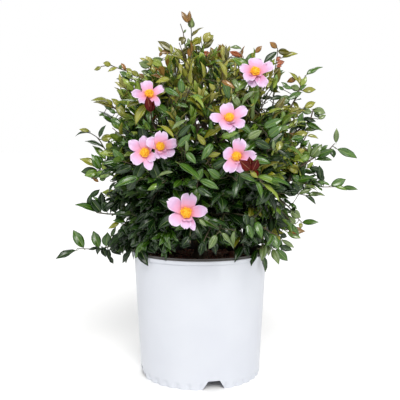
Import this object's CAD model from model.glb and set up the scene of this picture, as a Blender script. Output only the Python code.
"""The looks of a camellia shrub in its nursery pot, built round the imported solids.

Each solid of the plant is replaced by what it stands for. The stem and boughs get a mesh with bark
relief. From them a seeded rule grows limbs, branches and leafy shoots into every foliage mass, and
the leaves and flowers sit on those shoots. Metres, +Z up, -Y is the front.
"""

import math

import bmesh
import bpy
import numpy as np
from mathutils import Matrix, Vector, noise
from mathutils.bvhtree import BVHTree


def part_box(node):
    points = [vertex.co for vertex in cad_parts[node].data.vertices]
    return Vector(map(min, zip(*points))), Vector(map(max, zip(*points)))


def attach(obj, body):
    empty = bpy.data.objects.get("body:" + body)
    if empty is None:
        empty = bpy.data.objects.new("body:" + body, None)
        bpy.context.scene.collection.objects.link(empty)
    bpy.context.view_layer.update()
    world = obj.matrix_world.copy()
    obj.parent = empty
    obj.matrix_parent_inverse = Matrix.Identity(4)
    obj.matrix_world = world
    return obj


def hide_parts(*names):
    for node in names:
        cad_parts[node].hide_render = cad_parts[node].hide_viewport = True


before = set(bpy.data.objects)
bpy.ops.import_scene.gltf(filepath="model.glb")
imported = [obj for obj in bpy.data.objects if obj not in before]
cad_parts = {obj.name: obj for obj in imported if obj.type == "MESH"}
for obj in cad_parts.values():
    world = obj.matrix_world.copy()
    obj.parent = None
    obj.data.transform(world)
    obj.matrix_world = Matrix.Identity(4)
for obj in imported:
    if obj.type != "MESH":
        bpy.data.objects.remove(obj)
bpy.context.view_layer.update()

BODY = "root"
UP = np.array([0.0, 0.0, 1.0])
RANDOM = np.random.default_rng(20)

# Camera: where the photograph was taken from, and its picture's side in pixels.
CAMERA_PLACE = Vector((-0.0005, -1.07, 0.376))
EYE = np.array(CAMERA_PLACE)
CAMERA_PITCH = 4.5
CAMERA_LENS = 57.33
SENSOR = 36.0
PICTURE_SIDE = 400
PICTURE_FOCUS = CAMERA_LENS / SENSOR * PICTURE_SIDE

# Crown: the ellipsoid that it roughly fills, how high its skirt is, and how far its top is above that.
CROWN_MIDDLE = np.array([0.010, 0.0, 0.360])
CROWN_HALF_SIZES = np.array([0.185, 0.180, 0.190])
SKIRT_HEIGHT = 0.21
CROWN_HEIGHT = 0.35

# Growth: the step of a twig, what a long way from the root and a sharp turn add to its cost, how
# much of its parent's way it keeps and of its end's way it takes, and how far it sways. The last two
# are the radius of a twig's end and the power by which limbs thicken where twigs meet.
STEP = 0.008
PATH_WEIGHT = 0.12
TURN_WEIGHT = 0.35
LEAVING_WEIGHT = 0.55
ARRIVING_WEIGHT = 0.8
SWAY = 0.002
FULL_SWAY_LENGTH = 0.05
TWIG_RADIUS = 0.00062
PIPE_POWER = 2.35

# The order of a limb, from the stem out.
STEM, BOUGH, BRANCH, SHOOT = range(4)

# Shoots: how far apart their tips stand on the crown's skin, how deep below it, and their leaves.
SHOOT_SPACING = 0.0235
SHOOT_LENGTH = 0.060
SHOOT_INSET = 0.026
LEAF_LENGTH = 0.0325
LEAF_WIDTH_SHARE = 0.43
LEAF_STEP = 0.0102
SPIRAL = math.radians(137.5)


# ---------------------------------------------------------------- vectors


def unit(vectors):
    """Each row, or the one vector, at length 1."""
    vectors = np.asarray(vectors, float)
    lengths = np.linalg.norm(vectors, axis=-1, keepdims=True)
    return vectors / np.maximum(lengths, 1e-9)


def frames_of(along, normals):
    """Axes for copies: y runs along, z is as near the normal as it can be."""
    along = unit(along)
    side = unit(np.cross(along, normals))
    upper = np.cross(side, along)
    return np.stack([side, along, upper], axis=-1)


def turned_about(vectors, axes, angles):
    """Each vector turned about its own unit axis."""
    cosine = np.cos(angles)[..., None]
    sine = np.sin(angles)[..., None]
    lengthwise = (vectors * axes).sum(-1, keepdims=True) * axes
    return vectors * cosine + np.cross(axes, vectors) * sine + lengthwise * (1 - cosine)


def outward_at(points):
    """The way out of the crown, as the normal of the ellipsoid that it roughly fills."""
    return unit((np.asarray(points) - CROWN_MIDDLE) / CROWN_HALF_SIZES**2)


def height_share(point):
    """0 at the crown's skirt, 1 at its top."""
    return float(np.clip((point[2] - SKIRT_HEIGHT) / CROWN_HEIGHT, 0, 1))


def direction(azimuth, elevation=0.0):
    """The way at these degrees round from +X and up from level."""
    turn, rise = math.radians(azimuth), math.radians(elevation)
    return np.array([math.cos(turn) * math.cos(rise), math.sin(turn) * math.cos(rise), math.sin(rise)])


def path_lengths(points):
    """How far along a line each of its points is."""
    return np.concatenate([[0], np.cumsum(np.linalg.norm(np.diff(points, axis=0), axis=1))])


def spots_along(points, lengths, wanted):
    """The places at the wanted distances along a line of points."""
    return np.stack([np.interp(wanted, lengths, points[:, axis]) for axis in range(3)], axis=-1)


# ---------------------------------------------------------------- meshes


class Gathered:
    """Points and faces gathered for one joined mesh."""

    def __init__(self):
        self.points = []
        self.corners = []
        self.sizes = []
        self.slots = []
        self.count = 0

    def add(self, points, groups):
        """Each group is rows of three or four corners, with one material slot or one a row."""
        self.points.append(np.asarray(points, np.float32).reshape(-1, 3))
        for faces, slots in groups:
            self.corners.append((faces + self.count).ravel())
            self.sizes.append(np.full(len(faces), faces.shape[1]))
            self.slots.append(np.broadcast_to(slots, len(faces)))
        self.count += len(self.points[-1])

    def add_copies(self, template, frames, origins, scales):
        """Every copy of a template, which is (points, [(faces, slot), ...])."""
        points, groups = template
        scales = np.asarray(scales, float).reshape(len(origins), 1, -1)
        placed = np.einsum("nij,nvj->nvi", frames, points[None] * scales) + origins[:, None]
        starts = np.arange(len(origins))[:, None, None] * len(points)
        self.add(placed, [((faces + starts).reshape(-1, faces.shape[1]), slot) for faces, slot in groups])

    def build(self, name, materials, smooth=True):
        """One object made of all that was gathered."""
        mesh = bpy.data.meshes.new(name)
        points = np.concatenate(self.points)
        corners = np.concatenate(self.corners)
        sizes = np.concatenate(self.sizes)
        mesh.vertices.add(len(points))
        mesh.vertices.foreach_set("co", points.ravel())
        mesh.loops.add(len(corners))
        mesh.loops.foreach_set("vertex_index", corners.astype(np.int32))
        mesh.polygons.add(len(sizes))
        starts = np.concatenate([[0], np.cumsum(sizes)[:-1]])
        mesh.polygons.foreach_set("loop_start", starts.astype(np.int32))
        mesh.polygons.foreach_set("material_index", np.concatenate(self.slots).astype(np.int32))
        mesh.update(calc_edges=True)
        if smooth:
            mesh.shade_smooth()
        for material in materials:
            mesh.materials.append(material)
        return linked(name, mesh)


def linked(name, data):
    """A new object in the scene."""
    made = bpy.data.objects.new(name, data)
    bpy.context.scene.collection.objects.link(made)
    return made


def grid_faces(rows, columns, closed=False):
    """Quads of a grid of points in rows. A closed grid joins its last column to its first."""
    across = columns if closed else columns - 1
    row, column = np.meshgrid(np.arange(rows - 1), np.arange(across), indexing="ij")
    here = row * columns + column
    beside = row * columns + (column + 1) % columns
    return np.stack([here, beside, beside + columns, here + columns], axis=-1).reshape(-1, 4)


def end_fans(rows, columns):
    """Triangles that close a grid's two round ends. Their hubs are the two points after its own."""
    ring = np.arange(columns)
    beside = (ring + 1) % columns
    hub = np.full(columns, rows * columns)
    last = (rows - 1) * columns
    fans = (np.stack([hub, ring, beside], axis=-1), np.stack([hub + 1, last + beside, last + ring], axis=-1))
    return np.concatenate(fans)


def tube(points, radii, sides, slot=0, relief=None):
    """A round limb with closed ends through these points, as points and groups of faces."""
    ways = unit(np.gradient(points, axis=0))
    side = unit(np.cross(ways[0], UP + 0.01))
    sides_at = []
    for way in ways:
        side = unit(side - way * side.dot(way))
        sides_at.append(side)
    sides_at = np.array(sides_at)
    other = np.cross(ways, sides_at)
    angles = np.arange(sides) * 2 * math.pi / sides
    cosines, sines = np.cos(angles)[None, :, None], np.sin(angles)[None, :, None]
    around = cosines * sides_at[:, None] + sines * other[:, None]
    wall = np.asarray(radii)[:, None, None] * np.ones((1, sides, 1))
    if relief is not None:
        wall = wall * relief(points, angles)[..., None]
    rings = (points[:, None] + around * wall).reshape(-1, 3)
    caps = np.stack([points[0] - ways[0] * radii[0] * 0.5, points[-1] + ways[-1] * radii[-1] * 0.8])
    walls = grid_faces(len(points), sides, closed=True)
    ends = end_fans(len(points), sides)[:, [0, 2, 1]]
    return np.concatenate([rings, caps]), [(walls, slot), (ends, slot)]


# ---------------------------------------------------------------- materials


def linear(red, green, blue):
    """A colour given as 0 to 255 on a screen, as the shader's linear one."""
    values = np.array([red, green, blue]) / 255.0
    return tuple(np.where(values <= 0.04045, values / 12.92, ((values + 0.055) / 1.055) ** 2.4))


# A material's second colour comes in patches with soft edges. Its grain is a fine bump.
PATCH_DETAIL = 3.0
PATCH_EDGES = (0.36, 0.64)
GRAIN_DETAIL = 4.0
GRAIN_DEPTH = 0.0005


def node(tree, kind, **values):
    """A new shader node with these constant values on its inputs."""
    made = tree.nodes.new(kind)
    for name, value in values.items():
        made.inputs[name.replace("_", " ")].default_value = value
    return made


def surface(name, colour, roughness, second=None, scale=60.0, bump=0.0, bump_scale=400.0, **settings):
    """A Principled material whose colour drifts to a second one in patches, with a fine bump."""
    material = bpy.data.materials.new(name)
    material.use_nodes = True
    tree = material.node_tree
    links = tree.links
    shader = tree.nodes["Principled BSDF"]
    shader.inputs["Roughness"].default_value = roughness
    for setting, value in settings.items():
        shader.inputs[setting.replace("_", " ")].default_value = value
    place = node(tree, "ShaderNodeTexCoord")
    if second is None:
        shader.inputs["Base Color"].default_value = (*colour, 1.0)
    else:
        patches = node(tree, "ShaderNodeTexNoise", Scale=scale, Detail=PATCH_DETAIL)
        blend = tree.nodes.new("ShaderNodeMix")
        blend.data_type = "RGBA"
        blend.inputs["A"].default_value = (*colour, 1.0)
        blend.inputs["B"].default_value = (*second, 1.0)
        spread = node(tree, "ShaderNodeMapRange", From_Min=PATCH_EDGES[0], From_Max=PATCH_EDGES[1])
        links.new(place.outputs["Object"], patches.inputs["Vector"])
        links.new(patches.outputs["Fac"], spread.inputs["Value"])
        links.new(spread.outputs["Result"], blend.inputs["Factor"])
        links.new(blend.outputs["Result"], shader.inputs["Base Color"])
    if bump:
        grain = node(tree, "ShaderNodeTexNoise", Scale=bump_scale, Detail=GRAIN_DETAIL)
        raised = node(tree, "ShaderNodeBump", Strength=bump, Distance=GRAIN_DEPTH)
        links.new(place.outputs["Object"], grain.inputs["Vector"])
        links.new(grain.outputs["Fac"], raised.inputs["Height"])
        links.new(raised.outputs["Normal"], shader.inputs["Normal"])
    return material


# Leaf tints: upper side, its second colour, then the underside.
LEAF_TINTS = {
    "shade": (linear(17, 42, 9), linear(11, 29, 6), linear(42, 70, 24)),
    "deep": (linear(30, 59, 13), linear(21, 45, 11), linear(68, 94, 34)),
    "green": (linear(64, 102, 18), linear(50, 87, 15), linear(104, 132, 46)),
    "grass": (linear(98, 130, 32), linear(82, 113, 26), linear(140, 162, 64)),
    "lime": (linear(140, 158, 56), linear(120, 141, 46), linear(172, 186, 90)),
    "olive": (linear(138, 138, 28), linear(114, 119, 24), linear(166, 166, 74)),
    "dusk": (linear(98, 92, 18), linear(76, 76, 14), linear(142, 132, 60)),
    "khaki": (linear(162, 156, 66), linear(138, 136, 52), linear(182, 178, 106)),
    "bronze": (linear(142, 94, 28), linear(114, 82, 25), linear(164, 128, 62)),
    "russet": (linear(172, 86, 42), linear(148, 72, 36), linear(188, 122, 76)),
    "wine": (linear(98, 15, 8), linear(64, 9, 6), linear(116, 46, 28)),
    "sage": (linear(108, 128, 72), linear(88, 109, 58), linear(138, 153, 96)),
}

# How strongly a leaf mirrors, and the pale colour that its rib takes a little of.
GLOSS = 0.8
LEAF_GLOSS = {"wine": 0.15, "shade": 0.34, "deep": 0.5}
RIB_COLOUR = linear(176, 184, 110)
RIB_SHARE = 0.15


def leaf_materials(tint):
    """Upper side, underside, and rib with stalk."""
    upper, second, under = LEAF_TINTS[tint]
    gloss = LEAF_GLOSS.get(tint, GLOSS)
    rib = tuple((1 - RIB_SHARE) * value + RIB_SHARE * pale for value, pale in zip(under, RIB_COLOUR))
    return [
        surface(f"leaf_{tint}", upper, 0.26, second, 45.0, 0.25, 900.0, Specular_IOR_Level=gloss),
        surface(f"leaf_{tint}_under", under, 0.6, second, 30.0, 0.2, 900.0, Specular_IOR_Level=0.3),
        surface(f"leaf_{tint}_rib", rib, 0.45, under, 80.0, 0.1),
    ]


# ---------------------------------------------------------------- places read off the picture

# Sprays on the crown's outline and over the rim. Each has the CAD node that gives its depth, or the
# crown's front skin or the pot's rim, then its tint. Pixels of the photograph follow: the twig's
# points from the crown out, and each leaf's base, tip and shown width, with its tint where that
# isn't the spray's. A negative width shows the underside.
OUTLINE_SPRAYS = {
    "top": ("spray_top", "olive", ((187, 66), (190, 50), (191.5, 38), (191.2, 27)), (
        (190.8, 28, 192.2, 17.5, -7, "sage"), (188.6, 23, 181.3, 11.2, 5, "bronze"),
        (189.2, 22, 189.8, 10.5, 4, "bronze"), (191.8, 36.5, 204, 27.5, 3, "dusk"),
        (191.6, 44, 201.5, 38, 6), (190, 48, 181, 54, 6, "dusk"), (188.5, 56, 199, 52, 6, "sage"),
        (190.5, 46, 188, 38, 4, "sage"), (186, 47, 188, 42, 3, "sage"),
    )),
    "top_bare": ("spray_top", "bronze", ((186, 72), (185, 46), (183.6, 37), (183.4, 33), (180.4, 24)), (
        (183, 37, 178.6, 41, 4.5, "dusk"), (183.4, 33, 186.2, 29.5, 2, "sage"),
        (184.5, 37, 181.3, 45.3, 5, "dusk"),
    )),
    "top_right_round": ("spray_top", "dusk", ((201, 66), (202.3, 54), (202, 48)), (
        (202, 48.5, 214, 39.5, 6), (204, 43, 210, 32, 8, "khaki"), (207, 40, 213.5, 35, 6, "olive"),
        (202, 50, 195, 46, 4, "sage"), (201, 41, 194, 38.5, 5, "olive"),
    )),
    "top_leaves": ("spray_top", "bronze", ((214, 74), (216, 62), (218, 56)), (
        (216, 60, 210.5, 47, 5.5), (219, 58, 219.8, 44.5, 4.5), (213.5, 56.5, 199.5, 52.3, 4.5, "russet"),
        (224, 60, 222.5, 43.5, 4, "dusk"), (215, 64, 206, 58, 5, "dusk"), (212, 68, 203, 60, 4.5, "russet"),
        (222, 66, 230, 58, 4.5), (226, 58, 226.5, 45.5, 3.5, "dusk"),
    )),
    "top_twin": ("spray_top", "olive", ((226, 74), (228, 64), (229, 58)), (
        (241.5, 56, 229, 51.5, 5, "russet"), (242, 49.5, 229.5, 47.5, 3, "sage"),
        (224, 63.5, 241.5, 61, 6.5), (226, 60, 226, 47, 3.5, "dusk"), (236, 64, 243, 55, 4, "bronze"),
        (228, 52, 230, 45.5, 3, "khaki"),
    )),
    "top_left_arc": ("spray_top", "olive", ((176, 74), (174, 62), (172.5, 54)), (
        (174, 51.5, 157.5, 41, 6.5, "dusk"), (172, 51, 160, 52.5, 5, "bronze"), (184, 62, 173.5, 47, 5.5),
        (170, 67, 170.5, 53.5, 4, "sage"), (162, 51.5, 159.5, 57, 3, "bronze"),
        (163, 60, 152, 58.5, 4, "sage"), (176, 63, 173, 53, 5), (163, 53, 158, 46.5, 3, "khaki"),
        (147, 62, 139.5, 58, 2.5, "khaki"),
    )),
    "upper_left_arc": ("spray_upper_left", "lime", ((156, 86), (152, 74), (150, 66)), (
        (151, 66, 138.8, 62.5, 8.5, "sage"), (152, 66, 146, 56, 8, "khaki"), (160, 77, 150, 66, 9.5),
        (146.5, 71, 166, 77, 5, "green"), (163, 66, 150, 60, 7), (167, 77, 160, 70, 7, "sage"),
        (150, 74, 141, 71, 5, "sage"),
    )),
    "upper_left": ("spray_upper_left", "olive",
        ((138, 84), (128, 71.5), (117.6, 68), (110, 65), (101, 66.5)), (
        (101, 67, 94, 70, 3.5), (111, 65, 103, 63, 5.5), (117.6, 68, 107.5, 72, 3),
        (126, 70, 121, 63, 3.5, "bronze"), (131, 79, 127, 71.5, 5.5, "lime"),
        (131, 80.5, 116, 79, 4, "deep"), (139, 76, 131, 71, 5), (130, 97, 116.5, 90.3, 8, "grass"),
        (137.5, 107.5, 122, 92, 9, "green"), (134, 90, 123, 82, 8, "lime"),
        (145, 80.5, 139, 73.5, 5.5, "bronze"), (129, 77, 119.5, 71.5, 5, "green"), (133, 73, 126, 68.5, 4),
    )),
    "left_shoulder": ("spray_left_shoulder", "olive", ((130, 124), (121, 113), (113, 106.5), (106, 103)), (
        (111, 105, 90.5, 100.7, 5), (114, 108.5, 93, 102.5, 5, "dusk"), (112.5, 105, 106.8, 98.6, 4),
        (113.5, 119.5, 97.3, 110.6, 3, "deep"), (114.5, 125, 98, 113.8, 3, "green"),
        (117, 104.5, 126.5, 119, 8), (112.5, 117, 120, 130.5, 8, "grass"), (118, 112, 125, 101, 7, "green"),
        (134, 138, 132, 121.5, 7, "green"), (121, 106, 111, 98.5, 5), (116, 113, 108, 109, 4, "green"),
        (113, 123, 103, 117.5, 3.5, "green"), (112, 109, 105, 107.5, 3, "green"),
        (104, 113, 99, 116, 2.5, "green"), (110, 107, 104, 106, 3, "green"),
    )),
    "left_middle": ("spray_left_middle", "green",
        ((124, 160), (106, 151), (99.7, 140.2), (96, 136.4), (90.4, 133.2)), (
        (90.4, 133.3, 75, 136.8, 2.5, "deep"), (89.5, 131, 79, 129.3, 4, "olive"),
        (99.2, 137.5, 106, 125, 4, "deep"), (101, 139.5, 113, 136.5, 7, "olive"),
        (103.3, 147.6, 84.3, 141.3, 3.5, "deep"), (110, 160, 106.5, 146, 5, "deep"),
        (121, 140, 115, 131.5, 6, "sage"), (131, 145, 113, 139, 7, "olive"),
        (108, 154, 117, 143, 8, "deep"), (112, 158, 124, 147, 9, "deep"), (112, 151, 108, 140, 6, "deep"),
        (111, 167, 108, 154, 6, "deep"),
    )),
    "left_fan": ("spray_left_elbow", "grass", ((126, 183), (111.8, 174.8), (100, 170)), (
        (100.5, 169.5, 91.2, 153.8, 7.5, "green"), (99, 168.3, 79, 158.8, 6.5, "olive"),
        (97.5, 170, 80.8, 171.8, 7.5, "deep"), (98, 171.5, 84.3, 176, 8), (111.5, 174, 95, 176, 6.5),
        (101, 172, 91, 179, 5, "green"), (92.5, 177, 98.8, 182.2, 3.5, "bronze"),
        (102, 169.5, 108.5, 160.8, 9, "lime"), (120, 172.5, 128.3, 155.8, 9, "green"),
        (110, 171.5, 117, 163, 6, "green"), (112, 168, 116, 158, 7, "deep"), (106, 160, 92, 145.5, 6),
        (100, 180, 106, 178, 4, "green"), (103, 163, 95, 155, 6, "green"),
    )),
    "left_arm": ("spray_left_arm", "deep", ((128, 210), (118, 214), (108, 214), (97, 212.6)), (
        (95.7, 211.6, 74.3, 205, 6, "green"), (89.5, 206, 91.5, 192.5, 4.5), (101, 212, 90.5, 199, 9.5),
        (101.5, 204, 101, 191.5, 7, "shade"), (107, 212, 102.5, 199, 8), (115, 212.8, 112.5, 196, 11),
        (122, 200, 107, 192.5, 8, "shade"), (120, 211, 122, 197, 8), (90, 197, 100, 189.3, 5),
        (99, 200.5, 92, 197, 2.5, "green"),
    )),
    "left_low": ("spray_left_rim", "deep", ((136, 232), (126, 226), (119, 222)), (
        (119.5, 222, 108, 228.6, 4.5, "olive"), (126, 222.5, 112.5, 220.6, 4, "green"),
        (111, 237, 116, 227, 3.5), (124, 228, 118, 238, 7), (122, 225, 127, 236, 8),
    )),
    "left_hanging": ("spray_left_hanging", "deep",
        ((122, 243), (106, 247.5), (99.3, 248.8), (88, 248.9), (77, 248.6)), (
        (76.5, 250.4, 55.5, 259, 5.5), (83.8, 248, 73, 229.8, 9, "green"),
        (99, 247.8, 93.2, 230.6, 8.5, "green"), (97, 247.5, 88.5, 250, 3, "shade"),
        (106, 246.5, 107.5, 232, 9, "green"), (102.5, 247, 106, 257.2, 6, "shade"),
        (108, 249, 109.5, 261, 4.5, "shade"), (128, 246, 110.5, 250, 10), (112, 246, 121, 255, 9, "shade"),
        (116, 240, 108, 247, 8), (109, 256, 113.5, 263.8, 4, "shade"),
    )),
    "rim_left": ("rim", "deep", ((152, 226), (146, 238), (141, 249)), (
        (148, 238.5, 134.8, 258.3, 9, "green"), (141, 251, 148.3, 266.2, 10, "shade"),
        (133.5, 250, 122.3, 263.6, 4, "shade"), (146, 238, 130, 246, 8), (144, 246, 156, 253, 7, "shade"),
    )),
    "rim_middle": ("rim", "shade", ((165, 222), (160, 232), (158, 240)), (
        (157.9, 240.3, 166.2, 261, 8, "deep"), (160, 236, 149, 249, 7, "deep"),
    )),
    "rim_front": ("rim", "shade", ((178, 226), (180, 236), (178, 243)), (
        (178, 243, 191, 245.5, 8), (179, 240, 169, 249, 6, "deep"),
    )),
    "front_lime": ("front", "lime", ((224, 214), (221, 224), (219, 232)), (
        (216.5, 234.5, 208.5, 249.3, 7.5, "sage"), (221, 232.5, 234, 249.5, 5, "sage"),
        (235, 230.5, 234, 247, 4.5, "sage"), (208, 220, 228.3, 227, 6, "deep"),
        (199, 219, 206.5, 226.5, 4, "sage"),
    )),
    "rim_right": ("rim", "shade", ((240, 224), (242, 236), (243, 247)), (
        (242.8, 246, 234.5, 262.8, 7), (241, 236, 234.5, 248, 4, "olive"), (243.5, 244, 249, 257, 7),
        (242, 240, 252, 246, 7, "deep"),
    )),
    "rim_far_right": ("rim", "deep", ((262, 226), (262, 238), (262, 248)), (
        (257, 249, 251.1, 266.5, 6), (263.5, 244, 261.5, 261.5, 8, "sage"), (263.2, 256, 265, 272.5, 5),
        (261, 240, 250, 248, 7), (263, 240, 272, 250, 6, "green"), (268, 246, 268.5, 256, 5, "sage"),
    )),
    "right_hanging": ("spray_right_hanging", "green", ((262, 226), (268, 238), (273.4, 247)), (
        (279, 246, 292.3, 250.3, 6, "deep"), (276, 249, 287.8, 261, 7.5),
        (272.5, 249, 279, 264.8, 7, "sage"), (274, 240, 283, 246, 9), (281, 240, 294.3, 247.8, 4, "sage"),
        (270, 240, 283, 237.5, 7, "deep"), (268, 238, 276, 230, 6, "grass"),
    )),
    "right_low_fan": ("spray_right_hanging", "green", ((266, 214), (278, 226), (287, 230)), (
        (288, 229.8, 305.5, 231.3, 7, "bronze"), (287, 232, 301, 238.3, 6, "grass"),
        (286, 228, 280, 214, 7, "lime"), (272, 231, 276, 218, 8), (278, 222, 268, 214, 7, "deep"),
        (279, 228, 290, 224, 6, "grass"), (280, 234, 287, 237, 5, "deep"),
    )),
    "right_low_tip": ("spray_right_low", "green", ((276, 196), (290, 208), (296, 216.5), (301.6, 222)), (
        (302, 222.5, 319, 222.2, 5.5), (290, 210.5, 300.8, 217.6, 8, "sage"),
        (283, 199, 293, 209, 3, "deep"), (295, 224, 288, 216.5, 7, "sage"),
        (301, 223, 300, 229, 4, "olive"), (303, 190.5, 311, 195, 3), (284, 208, 291, 213.5, 4, "deep"),
        (291, 203, 297, 209.5, 3.5),
    )),
    "right_low_arm": ("spray_right_low", "green", ((280, 190), (296, 193.5), (306, 195.2)), (
        (298.5, 194.5, 312, 189.5, 4, "sage"), (308, 195.4, 325.5, 196.3, 4.5, "sage"),
        (305, 196, 315.8, 204.6, 3.5, "deep"),
    )),
    "right_arm": ("spray_right_arm", "green",
        ((290, 180), (310, 184), (323, 187), (336, 186.8), (342.7, 187.5)), (
        (330.5, 185.8, 346, 179, 7.5), (342.7, 187.3, 358, 189.6, 4.5),
        (334.5, 187, 347.4, 190.4, 3.5, "grass"), (310, 182.5, 323.5, 187.8, 4, "deep"),
        (317, 181, 325.5, 184, 5), (321, 180.5, 318.8, 166, 6.5, "deep"), (305, 184, 318, 178.5, 5.5),
        (302.5, 184, 303, 190.5, 2, "shade"), (300, 181, 291, 175, 8), (291, 184, 299.5, 192, 7, "deep"),
        (296, 180.5, 314, 177, 7), (307, 180, 323, 187.5, 4.5, "grass"),
        (303.5, 189.5, 312, 189, 2, "deep"), (324, 180, 316, 170, 5, "deep"), (322, 182, 330, 185.5, 2.5),
        (308, 178.5, 318, 175, 3),
    )),
    "right_middle": ("spray_right_middle", "green",
        ((292, 172), (311.4, 159.4), (318, 155.4), (330.2, 148.5), (334.6, 143.6)), (
        (336, 143, 336.5, 128, 5, "sage"), (337, 149, 357.5, 158.5, 7.5),
        (332, 149.5, 334, 158, 5.5, "deep"), (315.5, 156, 334, 149, 7), (311, 157.5, 322, 144, 9, "sage"),
        (315.5, 160, 332.5, 160.2, 4), (307, 168.5, 313.4, 161.8, 4, "lime"),
        (309, 168, 323, 170.5, 5.5, "deep"), (321, 178, 319, 165, 6, "deep"),
        (299, 160, 311, 155.5, 7, "grass"), (297, 168.5, 307, 161.5, 8, "sage"),
        (304, 166, 300, 178, 7, "deep"), (321, 150, 328, 145, 3.5), (311, 147, 319.5, 144, 3),
    )),
    "right_twig": ("spray_right_shoulder", "olive",
        ((298, 158), (299.8, 152), (302.8, 142.9), (307.9, 132.6), (308, 129)), (
        (307, 136, 318.5, 138.8, 3), (304, 141.5, 295, 139.3, 5, "deep"), (308, 133, 291, 136, 7),
        (293.5, 133, 285.5, 141, 7.5, "bronze"), (300, 147, 309.5, 140, 5, "green"),
        (293, 160, 292, 143, 8, "green"), (309, 156, 309, 141, 4, "sage"),
    )),
    "right_shoulder": ("spray_right_shoulder", "olive",
        ((294, 134), (306, 124), (311.3, 117.6), (312, 113.6), (313.5, 108.8)), (
        (304, 107.3, 315.6, 102.2, 6), (313, 109.5, 325.6, 113.3, 7.5, "sage"),
        (314.5, 112, 319.6, 118.2, 4.5, "deep"), (311.5, 113, 301, 109, 6, "sage"),
        (303, 117.8, 316, 121.7, 4.5, "shade"), (306, 123, 321.3, 129.3, 5.5, "green"),
        (304, 131, 323.3, 131, 4.5, "grass"), (303, 131, 303.5, 118, 5, "deep"),
        (297, 128, 306, 119, 6, "deep"), (290, 134, 297, 126, 6, "deep"), (318, 119, 326, 115, 4, "sage"),
        (291, 107, 287, 102, 2.5, "green"),
    )),
    "high_right": ("spray_high_right", "green",
        ((288, 112), (294, 101.5), (298, 94), (300, 88), (301.5, 82), (306.3, 75)), (
        (306.3, 75, 323.5, 67, 4.5), (300.5, 86.5, 306.5, 76.5, 5, "lime"),
        (301, 85, 299, 75.5, 3.5, "khaki"), (300, 85, 288.5, 71.8, 3, "olive"),
        (296.5, 78, 286.5, 82.3, 5, "bronze"), (299.6, 89.5, 290.5, 86, 8.5, "sage"),
        (292, 88.8, 282, 86, 3.5), (302, 90.5, 316, 89.5, 5.5, "olive"), (301.5, 92.5, 286, 100, 5.5),
        (294, 102, 299.3, 110.5, 4, "olive"), (290, 96.5, 277, 105, 8.5, "sage"),
        (283, 109, 299, 117, 8, "olive"), (277, 112, 295, 107.5, 6, "olive"),
        (284, 114, 297, 119, 2.5, "sage"), (272, 107, 288, 108, 6, "olive"), (298, 124, 303, 112, 5),
        (270, 100, 284, 97, 4, "deep"), (289, 88, 281, 82, 3), (299, 90, 307, 84.5, 3),
        (284, 90, 278, 86, 3),
    )),
    "top_right": ("foliage_high_right", "olive",
        ((272, 118), (273.4, 101), (273.8, 93), (274.7, 79.6), (275.4, 67.1), (277.8, 52), (277.4, 48)), (
        (277.2, 48.2, 269.5, 42, 5, "bronze"), (278, 51, 292, 53, 6, "dusk"), (282, 58, 298.2, 53.8, 4.5),
        (277, 51.8, 263.3, 63.3, 5.5, "deep"), (276, 61, 280.5, 56.3, 3.5, "russet"),
        (276, 63.5, 284.6, 61.5, 4.5, "russet"), (276, 66, 282, 66, 3, "russet"),
        (276.4, 72.8, 283.4, 70.2, 2.5, "green"), (275, 80.6, 285.4, 71.4, 3.5, "sage"),
        (274, 92.5, 273.2, 78.5, 8, "green"), (273, 84, 267.5, 77.5, 4, "deep"),
        (273.4, 98.3, 260, 98.3, 3.5, "deep"),
    )),
    "behind_flower": ("foliage_high_right", "olive", ((258, 92), (256, 74), (254.5, 58), (255, 53.5)), (
        (255, 53, 262, 45.8, 4.5, "bronze"), (255, 52.5, 245, 61.3, 4.5), (259, 61.5, 251, 58, 3),
    )),
    "top_brown": ("foliage_high_right", "bronze", ((243, 80), (242.5, 66), (241.4, 57)), (
        (241.4, 57, 245, 45.5, 2.5), (242, 64, 250, 66, 5, "deep"), (240, 66, 233, 58, 5, "olive"),
    )),
    "wine_high": ("front", "wine", ((153, 124), (151.6, 117), (150.8, 112)), (
        (150.5, 112, 147.2, 96, 8), (151.3, 111.6, 153.9, 100.4, 5.5),
    )),
    "wine_right": ("front", "wine", ((264, 184), (257, 177), (252, 171)), (
        (250.5, 170, 238.8, 159.8, 9), (252, 170, 249.3, 156.6, 8), (252.6, 170.6, 258, 159, 8),
    )),
    "front_low_right": ("front", "green", ((262, 208), (256, 216), (251, 221)), (
        (247, 224, 252.5, 239, 7), (256, 221, 262.3, 239, 7.5), (245, 213.5, 247, 226, 7, "deep"),
        (252, 216, 252, 228, 5, "deep"),
    )),
    "front_middle": ("front", "green", ((184, 162), (191, 171), (198, 179), (197, 187)), (
        (199, 180, 219.5, 189.3, 7), (198, 180, 187, 186, 6, "deep"), (197, 188, 213.5, 198, 7, "deep"),
        (178, 163, 201, 181, 7), (186, 152, 196, 164, 7),
    )),
    "front_pale": ("front", "green", ((226, 174), (233, 177), (237, 181)), (
        (237, 180.5, 233.5, 199, 7, "deep"), (223, 194, 211, 208, 4, "deep"), (238, 174, 257, 182.5, 6),
    )),
    "front_right": ("front", "grass", ((246, 168), (254, 175), (262, 180)), (
        (256, 177, 281, 187, 6), (262, 183, 279.5, 202, 4, "lime"), (268, 181, 290.5, 186.5, 5.5, "green"),
        (255, 181, 261.5, 199, 5, "green"), (250, 171, 258, 178, 5, "olive"),
    )),
    "front_long": ("front", "green", ((218, 148), (212, 156), (206, 164)), (
        (212.5, 143, 201, 161, 8), (208, 156, 221, 153, 5.5, "olive"), (213, 168, 226, 160.5, 8, "deep"),
        (220, 178, 206.5, 168.5, 8), (196, 181, 203, 168, 7), (205.5, 145.5, 197, 133.5, 5.5, "olive"),
    )),
    "front_upper_right": ("front", "green", ((276, 144), (268, 136), (262, 129)), (
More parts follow.
